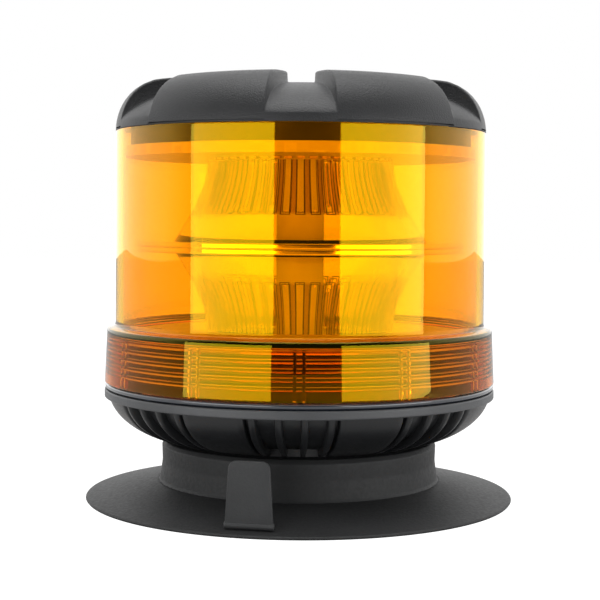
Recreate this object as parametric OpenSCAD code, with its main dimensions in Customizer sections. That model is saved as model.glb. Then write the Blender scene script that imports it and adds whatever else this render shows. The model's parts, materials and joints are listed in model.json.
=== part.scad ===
// Amber LED warning beacon on a vacuum and magnet foot.
// Z is up, the origin is the centre of the ring that the foot stands on, and -Y is the front.
// The pieces stack from the ground up: foot, housing, gasket, lens and cap, with the lamp inside.

/* [Foot] */
// Outer diameter of the rubber suction flange
flange_d = 161; // [150:1:190]
// Diameter of the rubber neck that holds the magnet
neck_d = 104; // [100:1:118]
// Height of the foot, from the ground to the housing
foot_h = 21.6; // [18:0.5:28]
// Height at which the flange leaves the neck
flange_root_h = 7.2; // [6:0.2:9]
// Thickness of the rubber flange at the neck
flange_t = 2.2; // [1.6:0.1:2.8]
// Width of the flat sealing lip under the flange's edge
lip_w = 3; // [2:0.5:5]
// Height of the release tab
tab_h = 21.6; // [14:0.5:26]
// Width of the release tab at its root
tab_w = 16.6; // [10:0.2:24]
// Thickness of the release tab
tab_t = 1.7; // [1.2:0.1:2.4]
// Angle of the release tab round the foot, from the front
tab_angle = -12.5; // [-45:0.5:45]

/* [Magnet] */
// Wall of the steel pot
pot_wall = 3; // [2:0.5:4]
// Height of the magnet's pole face above the ground
pole_gap = 1.2; // [0.8:0.1:2]
// Width of the ferrite ring
magnet_w = 15; // [10:0.5:18]
// Radius of the circle of foot screws
foot_screw_r = 15; // [12:0.5:17]
// Number of foot screws
foot_screws_n = 3; // [3:1:4]

/* [Housing] */
// Outer diameter of the housing's flange ring
housing_d = 147; // [141:1:165]
// Height of the ribbed bowl
bowl_h = 20; // [18:0.5:28]
// Thickness of the flange ring
ring_t = 3.1; // [2:0.2:4]
// Thickness of the housing's walls
housing_wall = 2.4; // [2:0.2:3.2]
// Depth of the grooves between the cooling ribs
groove_depth = 2.6; // [1.4:0.2:3.2]
// Number of smooth pads round the bowl
pads_n = 8; // [4:1:8]
// Angle that one smooth pad covers
pad_angle = 19; // [14:1:24]
// Number of cooling ribs between two pads
ribs_n = 4; // [2:1:4]
// Angle that one cooling rib covers
rib_angle = 2.3; // [1.6:0.1:2.8]

/* [Lens] */
// Outer diameter of the lens tube
lens_d = 139; // [133:1:142]
// Wall of the lens tube
lens_wall = 2.6; // [2:0.1:3]
// Height of the whole lens
lens_h = 96.5; // [90:0.5:120]
// Height of the ribbed skirt at the foot of the lens
skirt_h = 20.2; // [18:0.2:26]
// Amount that the skirt narrows towards its top, on the radius
skirt_taper = 0.9; // [0:0.1:1.4]
// Thickness of the gasket under the skirt
gasket_t = 2.5; // [1.6:0.1:4]
// Number of horizontal ribs on the skirt
skirt_ribs_n = 5; // [3:1:5]
// Spacing of the horizontal ribs
skirt_rib_pitch = 3.05; // [2.4:0.05:3.2]
// Height that the ribs stand out of the skirt's inner face
skirt_rib_proud = 0.8; // [0.4:0.1:1]
// Number of upright dividers on the skirt
dividers_n = 12; // [6:1:16]

/* [Optics] */
// Outer radius of an optic at its narrow end, over the LEDs
throat_r = 35.3; // [32:0.2:38]
// Outer radius of an optic at its wide end
mouth_r = 47.8; // [43:0.2:52]
// Height of each optic
optic_h = 29.5; // [26:0.5:33]
// Wall of the optics
optic_wall = 4.6; // [2.4:0.1:5]
// Number of flutes inside each optic, with an LED for each
flutes_n = 48; // [24:1:54]
// Depth of the flutes
flute_depth = 1.3; // [0.6:0.1:1.6]
// Radius of the two mirror discs between the optics
disc_r = 61.5; // [56:0.5:63]
// Thickness of one mirror disc
disc_t = 2; // [1.6:0.1:2.6]

/* [Cap] */
// Outer diameter of the cap
cap_d = 139.2; // [137:0.1:143]
// Height of the cap
cap_h = 20.8; // [18:0.2:26]
// Radius of the cap's rounded shoulder
cap_shoulder_r = 16; // [12:0.5:17]
// Number of scoops in the cap
scoops_n = 6; // [4:1:6]
// Depth of a scoop below the flat top
scoop_depth = 4.4; // [3:0.2:6]
// Half width of a scoop where it meets the rim
scoop_half_w = 12.8; // [8:0.2:14]
// Radius of the round recess in the middle of the cap
recess_r = 28; // [20:1:36]
// Wall of the cap
cap_wall = 2.5; // [2:0.1:3]
// Length that the cap overlaps the lens
cap_overlap = 3; // [2:0.2:4]

/* [Electronics] */
// Thickness of the circuit boards
board_t = 1.6; // [1:0.1:2]
// Radius of the driver board
driver_r = 50; // [42:1:52]
// Thickness of the heat spreader
spreader_t = 2; // [1.5:0.1:3]
// Outer radius of the core tube
core_r = 9; // [8:0.2:12]
// Wall of the core tube
core_wall = 2.2; // [1.6:0.1:2.4]

/* [Cable inlet] */
// Radius of the hole that the supply cable goes through
cable_r = 3.1; // [2.2:0.1:3.4]
// Across-flats size of the gland's hexagons
gland_af = 13; // [12:0.5:15]

/* [Hidden] */
$fn = 96;

// Clearances
face_gap = 0.1;   // between a piece and the wall round it
slip = 0.2;       // between pieces that are pushed together
cut = 1;          // how far a cutter runs past what it cuts
bury = 0.3;       // how far joined shapes run into each other

// Foot
flange_r = flange_d / 2;
neck_r = neck_d / 2;
neck_wall = 3.2;
web_t = 2.4;                              // rubber between the magnet pot and the housing
edge_t = 1;                               // thickness of the flange at its edge
pot_r = neck_r - neck_wall - face_gap;
pot_top = foot_h - web_t;
magnet_out_r = pot_r - pot_wall - face_gap;
magnet_in_r = magnet_out_r - magnet_w;
pole_r = magnet_in_r - face_gap;
pad_t = pole_gap - 0.5;
tab_r = flange_r - 5;                     // radius at which the tab stands
tab_gap = 0.12;                           // between the tab's root and the flange
flange_slope = (flange_root_h - edge_t) / (flange_r - neck_r);
tab_bead_r = tab_t / 2 + 0.35;
tab_axis_z = edge_t + (flange_r - tab_r) * flange_slope + tab_bead_r + tab_gap;
tab_corner_r = 3;
tab_taper = 1.3;                          // amount that each side of the tab leans in

// Screws
foot_screw_d = 5;
foot_head_r = 4.4;
foot_head_h = 3;
small_screw_d = 3;
small_head_r = 2.8;
small_head_h = 1.8;

// Levels, from the ground up
z_ring = foot_h + bowl_h;                 // top of the housing's flange ring
z_lens = z_ring + gasket_t;
z_skirt = z_lens + skirt_h;
shoulder_h = 1.9;
z_lens_top = z_lens + lens_h;
z_rim = z_lens_top - cap_overlap;
z_cap = z_rim + cap_h;
z_board = z_skirt - 2.2;                  // top of the lower LED board
z_deck = z_board - board_t;
led_h = 0.9;
led_gap = 0.3;
z_throat = z_board + led_h + led_gap;
z_disc = z_throat + optic_h;              // underside of the lower mirror disc
z_mid = z_disc + disc_t;
z_upper_board = 2 * z_mid - z_board;      // underside of the upper LED board
z_carrier = z_upper_board + board_t;

// Housing
housing_r = housing_d / 2;
bowl_r = housing_r - 1.3;
bowl_flat_r = 40;
collar_gap = 2.4;                         // between the collar and the lens skirt
skirt_wall = 2.2;
skirt_r = housing_r;
skirt_rib_top = 3.4;                      // from the skirt's top to the middle of the highest rib
divider_offset = 1.25;                    // angle from the middle of a pair of dividers to each one
divider_angle = 0.7;
divider_proud = 1.1;
collar_r = skirt_r - skirt_wall - skirt_taper - collar_gap;
collar_wall = 2.6;
ledge_w = 3;
spreader_r = collar_r - collar_wall - slip;
board_r = collar_r - 1.6;
cavity_z = foot_h + groove_depth + housing_wall;
standoff_h = 6;
z_driver = cavity_z + standoff_h;
driver_screw_r = driver_r - 6;
deck_screw_r = collar_r - collar_wall - ledge_w - 3;
rib_start = -92;                          // angle at the middle of the front ribs
rib_end_gap = 0.9;                        // angle between a pad and the rib beside it
vent_angle = rib_start + 360 / pads_n * (floor(pads_n * 0.35) + 0.5);
vent_r = 3;
vent_l = 6;
vent_boss_wall = 2.6;

// Driver board's parts
inductor_r = 7.5;
inductor_h = 6.5;
capacitor_r = 4;
capacitor_h = 9.5;
terminal_y = 34;
terminal_h = 8;
terminal_entry = 2.4;                     // height of the wire holes over the board
lead_r = 1;
lead_x = 2.4;

// Cable gland
gland_z = z_ring - ring_t - gland_af / 2 - face_gap;
gland_seat_r = bowl_r;                    // face that the gland's hexagon sits on
gland_thread_r = 5.2;
gland_thread_l = 12;
gland_boss_r = gland_af / 2 + 1.4;
gland_hex_t = 3.2;
gland_spigot_l = 3;                       // length that the dome nut screws onto
dome_nut_l = 4.9;
seal_l = gland_hex_t + gland_spigot_l;
seal_wall = 1;

// Lens
lens_r = lens_d / 2;
lens_bore_r = lens_r - lens_wall;
rebate_r = lens_r - 1.6;                  // radius of the step that goes up into the cap

// Optics
led_ring_r = throat_r - optic_wall / 2;
disc_edge_r = 0.4;
flute_top = 0.66;                         // share of the optic's height that the flutes reach
optic_curve = 1.65;
optic_steps = 12;
core_bore_r = core_r + slip;
core_lead_r = 0.75;

// Cap and carrier
cap_r = cap_d / 2;
cap_rise = 2.4;                           // from the shoulder's full height to the cap's top
cap_crown = 2;                            // drop of the top from the axis to the shoulder
floor_flat_r = 26;
scoop_in_half_w = 4.6;
carrier_r = lens_bore_r - 2.4;
carrier_plug_r = lens_bore_r - slip;
upper_board_r = carrier_r + 1;
upper_rim_h = 2.3;
o_ring_t = 1.9;
carrier_screw_r = 52;
carrier_floor = 3;
cap_boss_r = 4.5;
rod_r = 2.5;
rod_head_r = 4.6;
rod_head_h = 3;

function round_to(v) = round(v * 1000) / 1000;

// Points of an arc of an ellipse in the r, z plane, from angle a0 to a1
function arc(cr, cz, ra, rb, a0, a1, steps) =
    [for (i = [0 : steps]) let (a = a0 + (a1 - a0) * i / steps)
        [round_to(cr + ra * cos(a)), round_to(cz + rb * sin(a))]];

// Radius and height of the optic's outer face, at share t of its height
function flare_r(t) = throat_r + (mouth_r - throat_r) * pow(t, optic_curve);
function flare(t, inset) = [round_to(flare_r(t) - inset * (1 + 0.25 * t)), round_to(optic_h * t)];

// Height of the cap's crown over its shoulder, at radius r
function crown_z(r) = z_cap - cap_crown * pow(r / (cap_r - cap_shoulder_r), 2.4);

// Copies of the children at each of n angles round the axis
module ring(n, start = 0) {
    for (i = [0 : n - 1]) rotate([0, 0, start + 360 * i / n]) children();
}

// Copies at a radius, for screws and their holes
module at_radius(n, r, start = 0) {
    ring(n, start) translate([r, 0, 0]) children();
}

module tube(r_out, r_in, h) {
    difference() {
        cylinder(r = r_out, h = h);
        translate([0, 0, -cut]) cylinder(r = r_in, h = h + 2 * cut);
    }
}

// A hexagon with the given across-flats size
module hex(af, h) {
    cylinder(d = af / cos(30), h = h, $fn = 6);
}

// A pan-head screw pointing up, with its head's seat at z = 0 and a cross recess below
module screw_up(d, head_r, head_h, length) {
    difference() {
        union() {
            translate([0, 0, -head_h]) cylinder(r = head_r, h = head_h);
            translate([0, 0, -bury]) cylinder(d = d, h = length + bury);
        }
        for (a = [0, 90]) rotate([0, 0, a])
            translate([-head_r * 0.55, -0.35, -head_h - cut]) cube([head_r * 1.1, 0.7, cut + head_h * 0.5]);
    }
}

module screw_down(d, head_r, head_h, length) {
    mirror([0, 0, 1]) screw_up(d, head_r, head_h, length);
}

// ---------------------------------------------------------------- foot

module suction_foot() color("#2b2c2d") difference() {
    rotate_extrude() polygon([
        [pole_r * 0.35, foot_h - web_t], [pot_r + face_gap, foot_h - web_t],
        [pot_r + face_gap, flange_root_h - flange_t - 1],
        [pot_r + face_gap + 2, flange_root_h - flange_t - 1.6],
        [flange_r - lip_w - 2, edge_t * 0.7 + (lip_w + 2) * flange_slope * 0.55],
        [flange_r - lip_w, 0], [flange_r - 0.4, 0], [flange_r, edge_t * 0.6], [flange_r - 0.3, edge_t],
        [neck_r + 1.6, flange_root_h - 1.6 * flange_slope], [neck_r + 0.4, flange_root_h + 0.5],
        [neck_r, flange_root_h + 1.6], [neck_r - 0.2, foot_h - 2.2], [neck_r - 0.6, foot_h - 0.7],
        [neck_r - 1.3, foot_h], [pole_r * 0.35, foot_h]
    ]);
    at_radius(foot_screws_n, foot_screw_r, 90)
        translate([0, 0, foot_h - web_t - cut]) cylinder(d = foot_screw_d + 0.4, h = web_t + 2 * cut);
}

// The flap that breaks the vacuum, standing on the flange and turning about its round root
module tab_outline() {
    polygon([
        [-tab_w / 2, 0], [tab_w / 2, 0],
        [tab_w / 2 - tab_taper, tab_h - tab_corner_r], [tab_w / 2 - tab_taper - tab_corner_r, tab_h],
        [-tab_w / 2 + tab_taper + tab_corner_r, tab_h], [-tab_w / 2 + tab_taper, tab_h - tab_corner_r]
    ]);
    for (s = [-1, 1]) translate([s * (tab_w / 2 - tab_taper - tab_corner_r), tab_h - tab_corner_r])
        circle(r = tab_corner_r);
}

module release_tab() color("#333435")
    rotate([0, 0, tab_angle]) translate([0, -tab_r, tab_axis_z]) {
        rotate([90, 0, 0]) translate([0, 0, -tab_t / 2]) linear_extrude(tab_t) tab_outline();
        rotate([0, 90, 0]) cylinder(r = tab_bead_r, h = tab_w + 0.6, center = true);
    }

module magnet_pot() color("#8d9196") difference() {
    translate([0, 0, pole_gap]) cylinder(r = pot_r, h = pot_top - pole_gap);
    translate([0, 0, pole_gap - cut])
        cylinder(r = pot_r - pot_wall, h = pot_top - pole_gap - pot_wall + cut);
    at_radius(foot_screws_n, foot_screw_r, 90) cylinder(d = foot_screw_d + 0.4, h = foot_h);
    cylinder(r = rod_head_r + 1, h = foot_h);
}

module ring_magnet() color("#3c3c3f")
    translate([0, 0, pole_gap]) tube(magnet_out_r, magnet_in_r, pot_top - pot_wall - pole_gap);

module pole_ring() color("#9a9ea3") difference() {
    translate([0, 0, pole_gap]) cylinder(r = pole_r, h = pot_top - pot_wall - pole_gap);
    cylinder(r = rod_head_r + 1, h = foot_h);
    at_radius(foot_screws_n, foot_screw_r, 90) {
        cylinder(d = foot_screw_d + 0.4, h = foot_h);
        cylinder(r = foot_head_r + slip, h = pot_top - pot_wall - foot_head_h * 0.8);
    }
}

module pole_pad() color("#202122")
    translate([0, 0, pole_gap - pad_t]) tube(magnet_out_r, magnet_in_r + 1, pad_t);

module foot_screws() color("#b9bcc0")
    at_radius(foot_screws_n, foot_screw_r, 90) translate([0, 0, pot_top - pot_wall - foot_head_h * 0.8])
        screw_up(foot_screw_d, foot_head_r, foot_head_h, pot_wall + web_t + foot_head_h * 0.8 + 4);

// ---------------------------------------------------------------- housing

// The bowl's outer face set in by depth, closed to the axis, up to the flange ring
module bowl_profile(depth, z_bottom, z_top) {
    intersection() {
        polygon(concat(
            [[0, z_ring], [0, z_ring - bowl_h + depth]],
            arc(bowl_flat_r, z_ring, bowl_r - bowl_flat_r - depth, bowl_h - depth, -90, 0, 12)
        ));
        translate([0, z_bottom]) square([housing_r, z_top - z_bottom]);
    }
}

// What is cut away between two cooling ribs, as an outline to be turned through an angle
module groove_profile() {
    difference() {
        translate([neck_r - 4, foot_h - cut]) square([housing_r - neck_r + 6, bowl_h - ring_t - 1 + cut]);
        bowl_profile(groove_depth, foot_h - 2 * cut, z_ring);
    }
}

module bowl_grooves() {
    zone = 360 / pads_n - pad_angle;
    gap = (zone - 2 * rib_end_gap - ribs_n * rib_angle) / (ribs_n - 1);
    ring(pads_n, rib_start) {
        for (i = [0 : ribs_n - 2])
            rotate([0, 0, -zone / 2 + rib_end_gap + rib_angle + i * (gap + rib_angle)])
                rotate_extrude(angle = gap) groove_profile();
        for (start = [-zone / 2, zone / 2 - rib_end_gap]) rotate([0, 0, start])
            rotate_extrude(angle = rib_end_gap) groove_profile();
    }
}

module housing_cavity() {
    rotate_extrude() bowl_profile(groove_depth + housing_wall, foot_h, z_ring);
    translate([0, 0, z_ring - 8])
        cylinder(r = collar_r - collar_wall - ledge_w, h = z_deck - z_ring + 8 + cut);
    translate([0, 0, z_deck - spreader_t]) cylinder(r = collar_r - collar_wall, h = spreader_t + cut);
}

module housing_bosses() {
    // Standoffs under the driver board
    at_radius(3, driver_screw_r, 30) translate([0, 0, cavity_z - bury])
        cylinder(r = 3.2, h = standoff_h + bury);
    // Threaded bosses over the foot screws
    at_radius(foot_screws_n, foot_screw_r, 90) translate([0, 0, foot_h]) cylinder(r = 5, h = 8);
    // Centre boss for the tie bolt
    translate([0, 0, foot_h]) cylinder(r = rod_head_r + 2.6, h = 7);
}

// Holes through the bowl's bottom: the tie bolt with its head, and the foot screws
module housing_bottom_holes() {
    translate([0, 0, foot_h - cut]) cylinder(r = rod_head_r + slip, h = rod_head_h + cut);
    cylinder(r = rod_r + slip, h = z_ring);
    at_radius(foot_screws_n, foot_screw_r, 90) translate([0, 0, foot_h - cut])
        cylinder(d = foot_screw_d + 2 * face_gap, h = 6 + cut);
}

// A round bar that runs out of the bowl's side at the gland's height, in the direction angle
module side_bar(angle, r, r_from, r_to) {
    rotate([0, 0, angle]) translate([r_from, 0, gland_z]) rotate([0, 90, 0])
        cylinder(r = r, h = r_to - r_from);
}

module housing_side_holes() {
    side_bar(90, gland_thread_r + face_gap, gland_seat_r - 24, housing_r + cut);
    side_bar(vent_angle, vent_r + face_gap, gland_seat_r - 24, housing_r + cut);
}

module base_housing() color("#2f3133") difference() {
    union() {
        difference() {
            union() {
                rotate_extrude() bowl_profile(0, foot_h, z_ring);
                translate([0, 0, z_ring - ring_t]) cylinder(r = housing_r, h = ring_t);
                translate([0, 0, z_ring - bury]) cylinder(r = collar_r, h = z_deck - z_ring + bury);
            }
            bowl_grooves();
            housing_cavity();
        }
        housing_bosses();
        // Bosses that square the bowl's side for the cable gland and the vent
        side_bar(90, gland_boss_r, gland_seat_r - gland_thread_l + 1, gland_seat_r);
        side_bar(vent_angle, vent_r + vent_boss_wall, gland_seat_r - 10, gland_seat_r);
    }
    housing_bottom_holes();
    housing_side_holes();
    at_radius(3, driver_screw_r, 30) translate([0, 0, z_driver - 5])
        cylinder(d = small_screw_d + 2 * face_gap, h = 5 + cut);
}

// Long bolt from the housing's bottom up to the cap, which clamps the lens between them
module tie_bolt() color("#a9adb2") {
    translate([0, 0, foot_h + face_gap]) difference() {
        cylinder(r = rod_head_r, h = rod_head_h - face_gap);
        translate([0, 0, -cut]) hex(4, cut + 1.6);
    }
    translate([0, 0, foot_h + rod_head_h - bury])
        cylinder(r = rod_r, h = z_rim + cap_h - scoop_depth - 3 - foot_h - rod_head_h);
}

module driver_board() color("#1f5a36") difference() {
    translate([0, 0, z_driver]) cylinder(r = driver_r, h = board_t);
    translate([0, 0, z_driver - cut]) cylinder(r = 6.4, h = board_t + 2 * cut);
    at_radius(3, driver_screw_r, 30) translate([0, 0, z_driver - cut])
        cylinder(d = small_screw_d + 0.4, h = board_t + 2 * cut);
}

module driver_screws() color("#c2c5c9")
    at_radius(3, driver_screw_r, 30) translate([0, 0, z_driver + board_t])
        screw_down(small_screw_d, small_head_r, small_head_h, board_t + 3.6);

module inductor() color("#3a3f46")
    translate([-24, -14, z_driver + board_t]) {
        tube(inductor_r, 3.2, inductor_h);
        cylinder(r = 3.2 + bury, h = 1.2);
    }

module capacitors() color("#26306a")
    for (i = [0 : 2]) translate([20 + i * 0.5, -20 + i * 11, z_driver + board_t])
        cylinder(r = capacitor_r, h = capacitor_h);

module transistors() color("#1d1d1f")
    for (i = [0 : 3]) translate([-33 + i * 10, 14, z_driver + board_t]) {
        cube([6.4, 6, 2.3]);
        translate([0.6, 6 - bury, 0]) cube([5.2, 1.6, 0.8]);
    }

module control_chip() color("#17181a")
    translate([-9, -30, z_driver + board_t]) {
        translate([0, 0, 0.2]) cube([10, 6, 1.6]);
        for (i = [0 : 6], s = [0, 1]) translate([0.6 + i * 1.4, s * 6 - (s == 0 ? 1 : bury), 0])
            cube([0.5, 1 + bury, 0.7]);
    }

module terminal_block() color("#2f7d4f") difference() {
    translate([-6.5, terminal_y - 4.5, z_driver + board_t]) cube([13, 9, terminal_h]);
    for (s = [-1, 1]) translate([s * lead_x, terminal_y - 2.5, z_driver + board_t + terminal_entry])
        rotate([-90, 0, 0]) cylinder(r = lead_r + face_gap, h = 10);
    for (s = [-1, 1]) translate([s * lead_x, terminal_y, z_driver + board_t + 4.5])
        cylinder(r = 1.6, h = terminal_h);
}

// A wire in the y, z plane through the given points, whose straight runs overlap at its bends
module wire(points) {
    last = len(points) - 2;
    for (i = [0 : last]) {
        step = points[i + 1] - points[i];
        before = i > 0 ? lead_r : 0;
        after = i < last ? lead_r : 0;
        run_r = lead_r * (i % 2 == 0 ? 1 : 0.9);
        translate([0, points[i].x, points[i].y]) rotate([-atan2(step.x, step.y), 0, 0])
            translate([0, 0, -before]) cylinder(r = run_r, h = norm(step) + before + after);
    }
}

// The two wires from the terminal block over the board's edge and down to the gland's height
module supply_leads() color("#a03028") {
    z_from = z_driver + board_t + terminal_entry;
    y_end = gland_seat_r - gland_thread_l - 1.5;
    y_edge = driver_r + lead_r;
    for (s = [-1, 1]) translate([s * lead_x, 0, 0])
        wire([[terminal_y - 2, z_from], [y_edge, z_from], [y_edge + 3, gland_z], [y_end, gland_z]]);
}

// ---------------------------------------------------------------- cable gland and vent

// Places its children with +Z along the gland, pointing out of the back of the housing
module on_gland(from_r) {
    translate([0, from_r, gland_z]) rotate([-90, 0, 0]) children();
}

module cable_gland() color("#232425") on_gland(gland_seat_r) difference() {
    union() {
        hex(gland_af, gland_hex_t);
        translate([0, 0, -gland_thread_l]) cylinder(r = gland_thread_r, h = gland_thread_l + seal_l);
    }
    translate([0, 0, -gland_thread_l - cut]) cylinder(r = cable_r + 0.4, h = gland_thread_l + seal_l);
    translate([0, 0, 1]) cylinder(r = cable_r + seal_wall + face_gap, h = seal_l);
}

module gland_seal() color("#161617")
    on_gland(gland_seat_r + 1) tube(cable_r + seal_wall, cable_r, seal_l);

module gland_dome_nut() color("#232425") on_gland(gland_seat_r + gland_hex_t) difference() {
    union() {
        hex(gland_af - 0.8, dome_nut_l - 1.2);
        cylinder(r = gland_af / 2 - 1.1, h = dome_nut_l);
    }
    translate([0, 0, -cut]) cylinder(r = gland_thread_r + face_gap, h = gland_spigot_l + 1 + cut);
    translate([0, 0, -cut]) cylinder(r = cable_r + 0.4, h = dome_nut_l + 2 * cut);
}

module vent_plug() color("#1c1d1e") rotate([0, 0, vent_angle])
    translate([gland_seat_r - vent_l, 0, gland_z]) rotate([0, 90, 0]) {
        cylinder(r = vent_r, h = vent_l + bury);
        translate([0, 0, vent_l]) cylinder(r = vent_r + 1.8, h = 1.6);
    }

module lens_gasket() color("#14161a") rotate_extrude() polygon([
    [collar_r + face_gap, z_ring], [housing_r - 0.9, z_ring], [housing_r - 0.5, z_ring + gasket_t * 0.2],
    [housing_r - 0.2, z_ring + gasket_t * 0.5], [housing_r - 0.4, z_ring + gasket_t * 0.85],
    [housing_r - 0.8, z_ring + gasket_t], [collar_r + face_gap, z_ring + gasket_t]
]);

// ---------------------------------------------------------------- lamp

module deck_holes(z_from, h) {
    translate([0, 0, z_from]) cylinder(r = 6.4, h = h);
    at_radius(3, deck_screw_r - 4, 60) translate([0, 0, z_from]) cylinder(d = small_screw_d + 0.4, h = h);
}

module heat_spreader() color("#aab0b5") difference() {
    translate([0, 0, z_deck - spreader_t]) cylinder(r = spreader_r, h = spreader_t);
    deck_holes(z_deck - spreader_t - cut, spreader_t + 2 * cut);
}

module deck_screws() color("#c2c5c9")
    at_radius(3, deck_screw_r - 4, 60) translate([0, 0, z_board])
        screw_down(small_screw_d, small_head_r, small_head_h * 0.7, board_t + spreader_t + 1.5);

module led_board(z, r) {
    difference() {
        translate([0, 0, z]) cylinder(r = r, h = board_t);
        deck_holes(z - cut, board_t + 2 * cut);
    }
}

module lower_led_board() color("#eceae2") led_board(z_deck, board_r);

module led_ring() {
    at_radius(flutes_n, led_ring_r, -90) {
        translate([-1.4, -1.4, 0]) cube([2.8, 2.8, led_h * 0.7]);
        translate([0, 0, led_h * 0.7 - 0.05]) cylinder(r = 1.1, h = led_h * 0.3 + 0.05, $fn = 24);
    }
}

module lower_leds() color("#f4d24a") translate([0, 0, z_board]) led_ring();

// One optic with its narrow end at z = 0: a flared wall with pockets up its inner face
module optic() {
    steps = [for (i = [0 : optic_steps]) i / optic_steps];
    pocket = [for (i = [0 : optic_steps - 4]) flute_top * i / (optic_steps - 4)];
    flute_angle = 360 / flutes_n * 0.58;
    difference() {
        union() {
            rotate_extrude() polygon(concat(
                [for (t = steps) flare(t, 0)],
                [for (i = [optic_steps : -1 : 0]) flare(steps[i], optic_wall)]
            ));
            // Feet that stand on the board, inside the ring of LEDs
            ring(6, 30) translate([throat_r - optic_wall - 2.6, -2, -led_h - led_gap])
                cube([2.6 - 0.6, 4, 6]);
            ring(6, 30) translate([throat_r - optic_wall - 2, -2, 1]) cube([2.3, 4, 3.5]);
        }
        ring(flutes_n, -90 - flute_angle / 2) rotate_extrude(angle = flute_angle) polygon(concat(
            [[throat_r - optic_wall - 0.4, -cut], flare(0, optic_wall - flute_depth) + [0, -cut]],
            [for (t = pocket) flare(t, optic_wall - flute_depth)],
            [flare(flute_top, optic_wall + 0.5)],
            [for (i = [len(pocket) - 2 : -1 : 0]) flare(pocket[i], optic_wall + 0.4)]
        ));
    }
}

module lower_optic() color("#f3f1ea") translate([0, 0, z_throat]) optic();

module upper_optic() color("#f3f1ea") translate([0, 0, 2 * z_mid - z_throat]) mirror([0, 0, 1]) optic();

// A plated disc with a rounded edge; the two lie back to back
module mirror_disc() {
    edge = disc_edge_r;
    difference() {
        rotate_extrude() polygon(concat(
            [[0, 0]], arc(disc_r - edge, edge, edge, edge, -90, 0, 4),
            arc(disc_r - edge, disc_t - edge, edge, edge, 0, 90, 4), [[0, disc_t]]
        ));
        translate([0, 0, -cut]) cylinder(r = core_bore_r, h = disc_t + 2 * cut);
    }
}

module lower_mirror_disc() color("#d9dadb") translate([0, 0, z_disc]) mirror_disc();

module upper_mirror_disc() color("#d9dadb")
    translate([0, 0, 2 * z_mid - z_disc]) mirror([0, 0, 1]) mirror_disc();

module upper_leds() color("#f4d24a") translate([0, 0, z_upper_board]) mirror([0, 0, 1]) led_ring();

// The upper board, with a rim that comes up round the foot of the carrier
module upper_led_board() color("#eceae2") {
    led_board(z_upper_board, upper_board_r);
    translate([0, 0, z_carrier - bury]) tube(upper_board_r, carrier_r + face_gap, upper_rim_h + bury);
}

module core_tube() color("#e9e7df")
    translate([0, 0, z_board]) tube(core_r, core_r - core_wall, z_upper_board - z_board);

// Leads from the driver board up the core to the upper LED board
module core_leads() color("#c8a22a")
    at_radius(3, rod_r + 1.9, 10) translate([0, 0, z_driver])
        cylinder(r = core_lead_r, h = z_upper_board - z_driver - slip, $fn = 24);

module lamp_carrier() color("#202223") difference() {
    union() {
        translate([0, 0, z_carrier]) cylinder(r = carrier_r, h = z_rim - z_carrier + bury);
        translate([0, 0, z_rim]) cylinder(r = carrier_plug_r, h = z_lens_top - z_rim);
    }
    // Groove for the O-ring
    translate([0, 0, z_rim + 0.6]) tube(carrier_plug_r + cut, carrier_plug_r - o_ring_t, o_ring_t);
    // Recess in the top, with a hub for the tie bolt and bosses for the carrier screws left standing
    difference() {
        translate([0, 0, z_carrier + carrier_floor]) tube(carrier_r - 4, 10, z_lens_top - z_carrier);
        at_radius(3, carrier_screw_r, 0) cylinder(r = cap_boss_r, h = z_cap);
    }
    cylinder(r = rod_r + slip, h = z_cap);
    at_radius(3, carrier_screw_r, 0) {
        cylinder(d = small_screw_d + 0.3, h = z_cap);
        cylinder(r = small_head_r + slip, h = z_carrier + small_head_h + slip);
    }
    // Hollow over the core tube, where the leads come up and turn out to the board
    cylinder(r = core_r - core_wall, h = z_carrier + 2);
}

module carrier_o_ring() color("#3b1d10")
    translate([0, 0, z_rim + 0.6 + o_ring_t / 2]) rotate_extrude()
        translate([lens_bore_r - o_ring_t / 2 - 0.02, 0]) circle(r = o_ring_t / 2 - 0.03);

// Screws from under the carrier into the cap's bosses
module carrier_screws() color("#c2c5c9")
    at_radius(3, carrier_screw_r, 0) translate([0, 0, z_carrier + small_head_h + slip])
        screw_up(small_screw_d, small_head_r, small_head_h, z_lens_top - z_carrier + 2.5);

// ---------------------------------------------------------------- lens and cap

function skirt_out(z) = skirt_r - skirt_taper * (z - z_lens) / skirt_h;

module lens_wall_profile() {
    polygon(concat(
        [
            [skirt_out(z_lens) - skirt_wall, z_lens], [skirt_out(z_lens), z_lens],
            [skirt_out(z_skirt), z_skirt - 0.7], [skirt_out(z_skirt) - 0.7, z_skirt],
            [lens_r + 1.2, z_skirt + shoulder_h * 0.4], [lens_r + 0.2, z_skirt + shoulder_h * 0.7],
            [lens_r, z_skirt + shoulder_h], [lens_r, z_rim - 0.1]
        ],
        [
            [rebate_r, z_rim - 0.1], [rebate_r, z_lens_top], [lens_bore_r, z_lens_top],
            [lens_bore_r, z_skirt - 0.4], [skirt_out(z_skirt) - skirt_wall, z_skirt - skirt_wall]
        ]
    ));
}

function skirt_in(z) = skirt_out(z) - skirt_wall;

// One horizontal rib inside the skirt, its centre at height z, with slanted upper and lower faces
module skirt_rib_profile(z) {
    half = skirt_rib_pitch * 0.3;
    slant = half * 0.6;
    polygon([
        [skirt_in(z) + bury, z - half], [skirt_in(z - half), z - half],
        [skirt_in(z) - skirt_rib_proud, z - half + slant],
        [skirt_in(z) - skirt_rib_proud, z + half - slant],
        [skirt_in(z + half), z + half], [skirt_in(z) + bury, z + half]
    ]);
}

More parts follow.
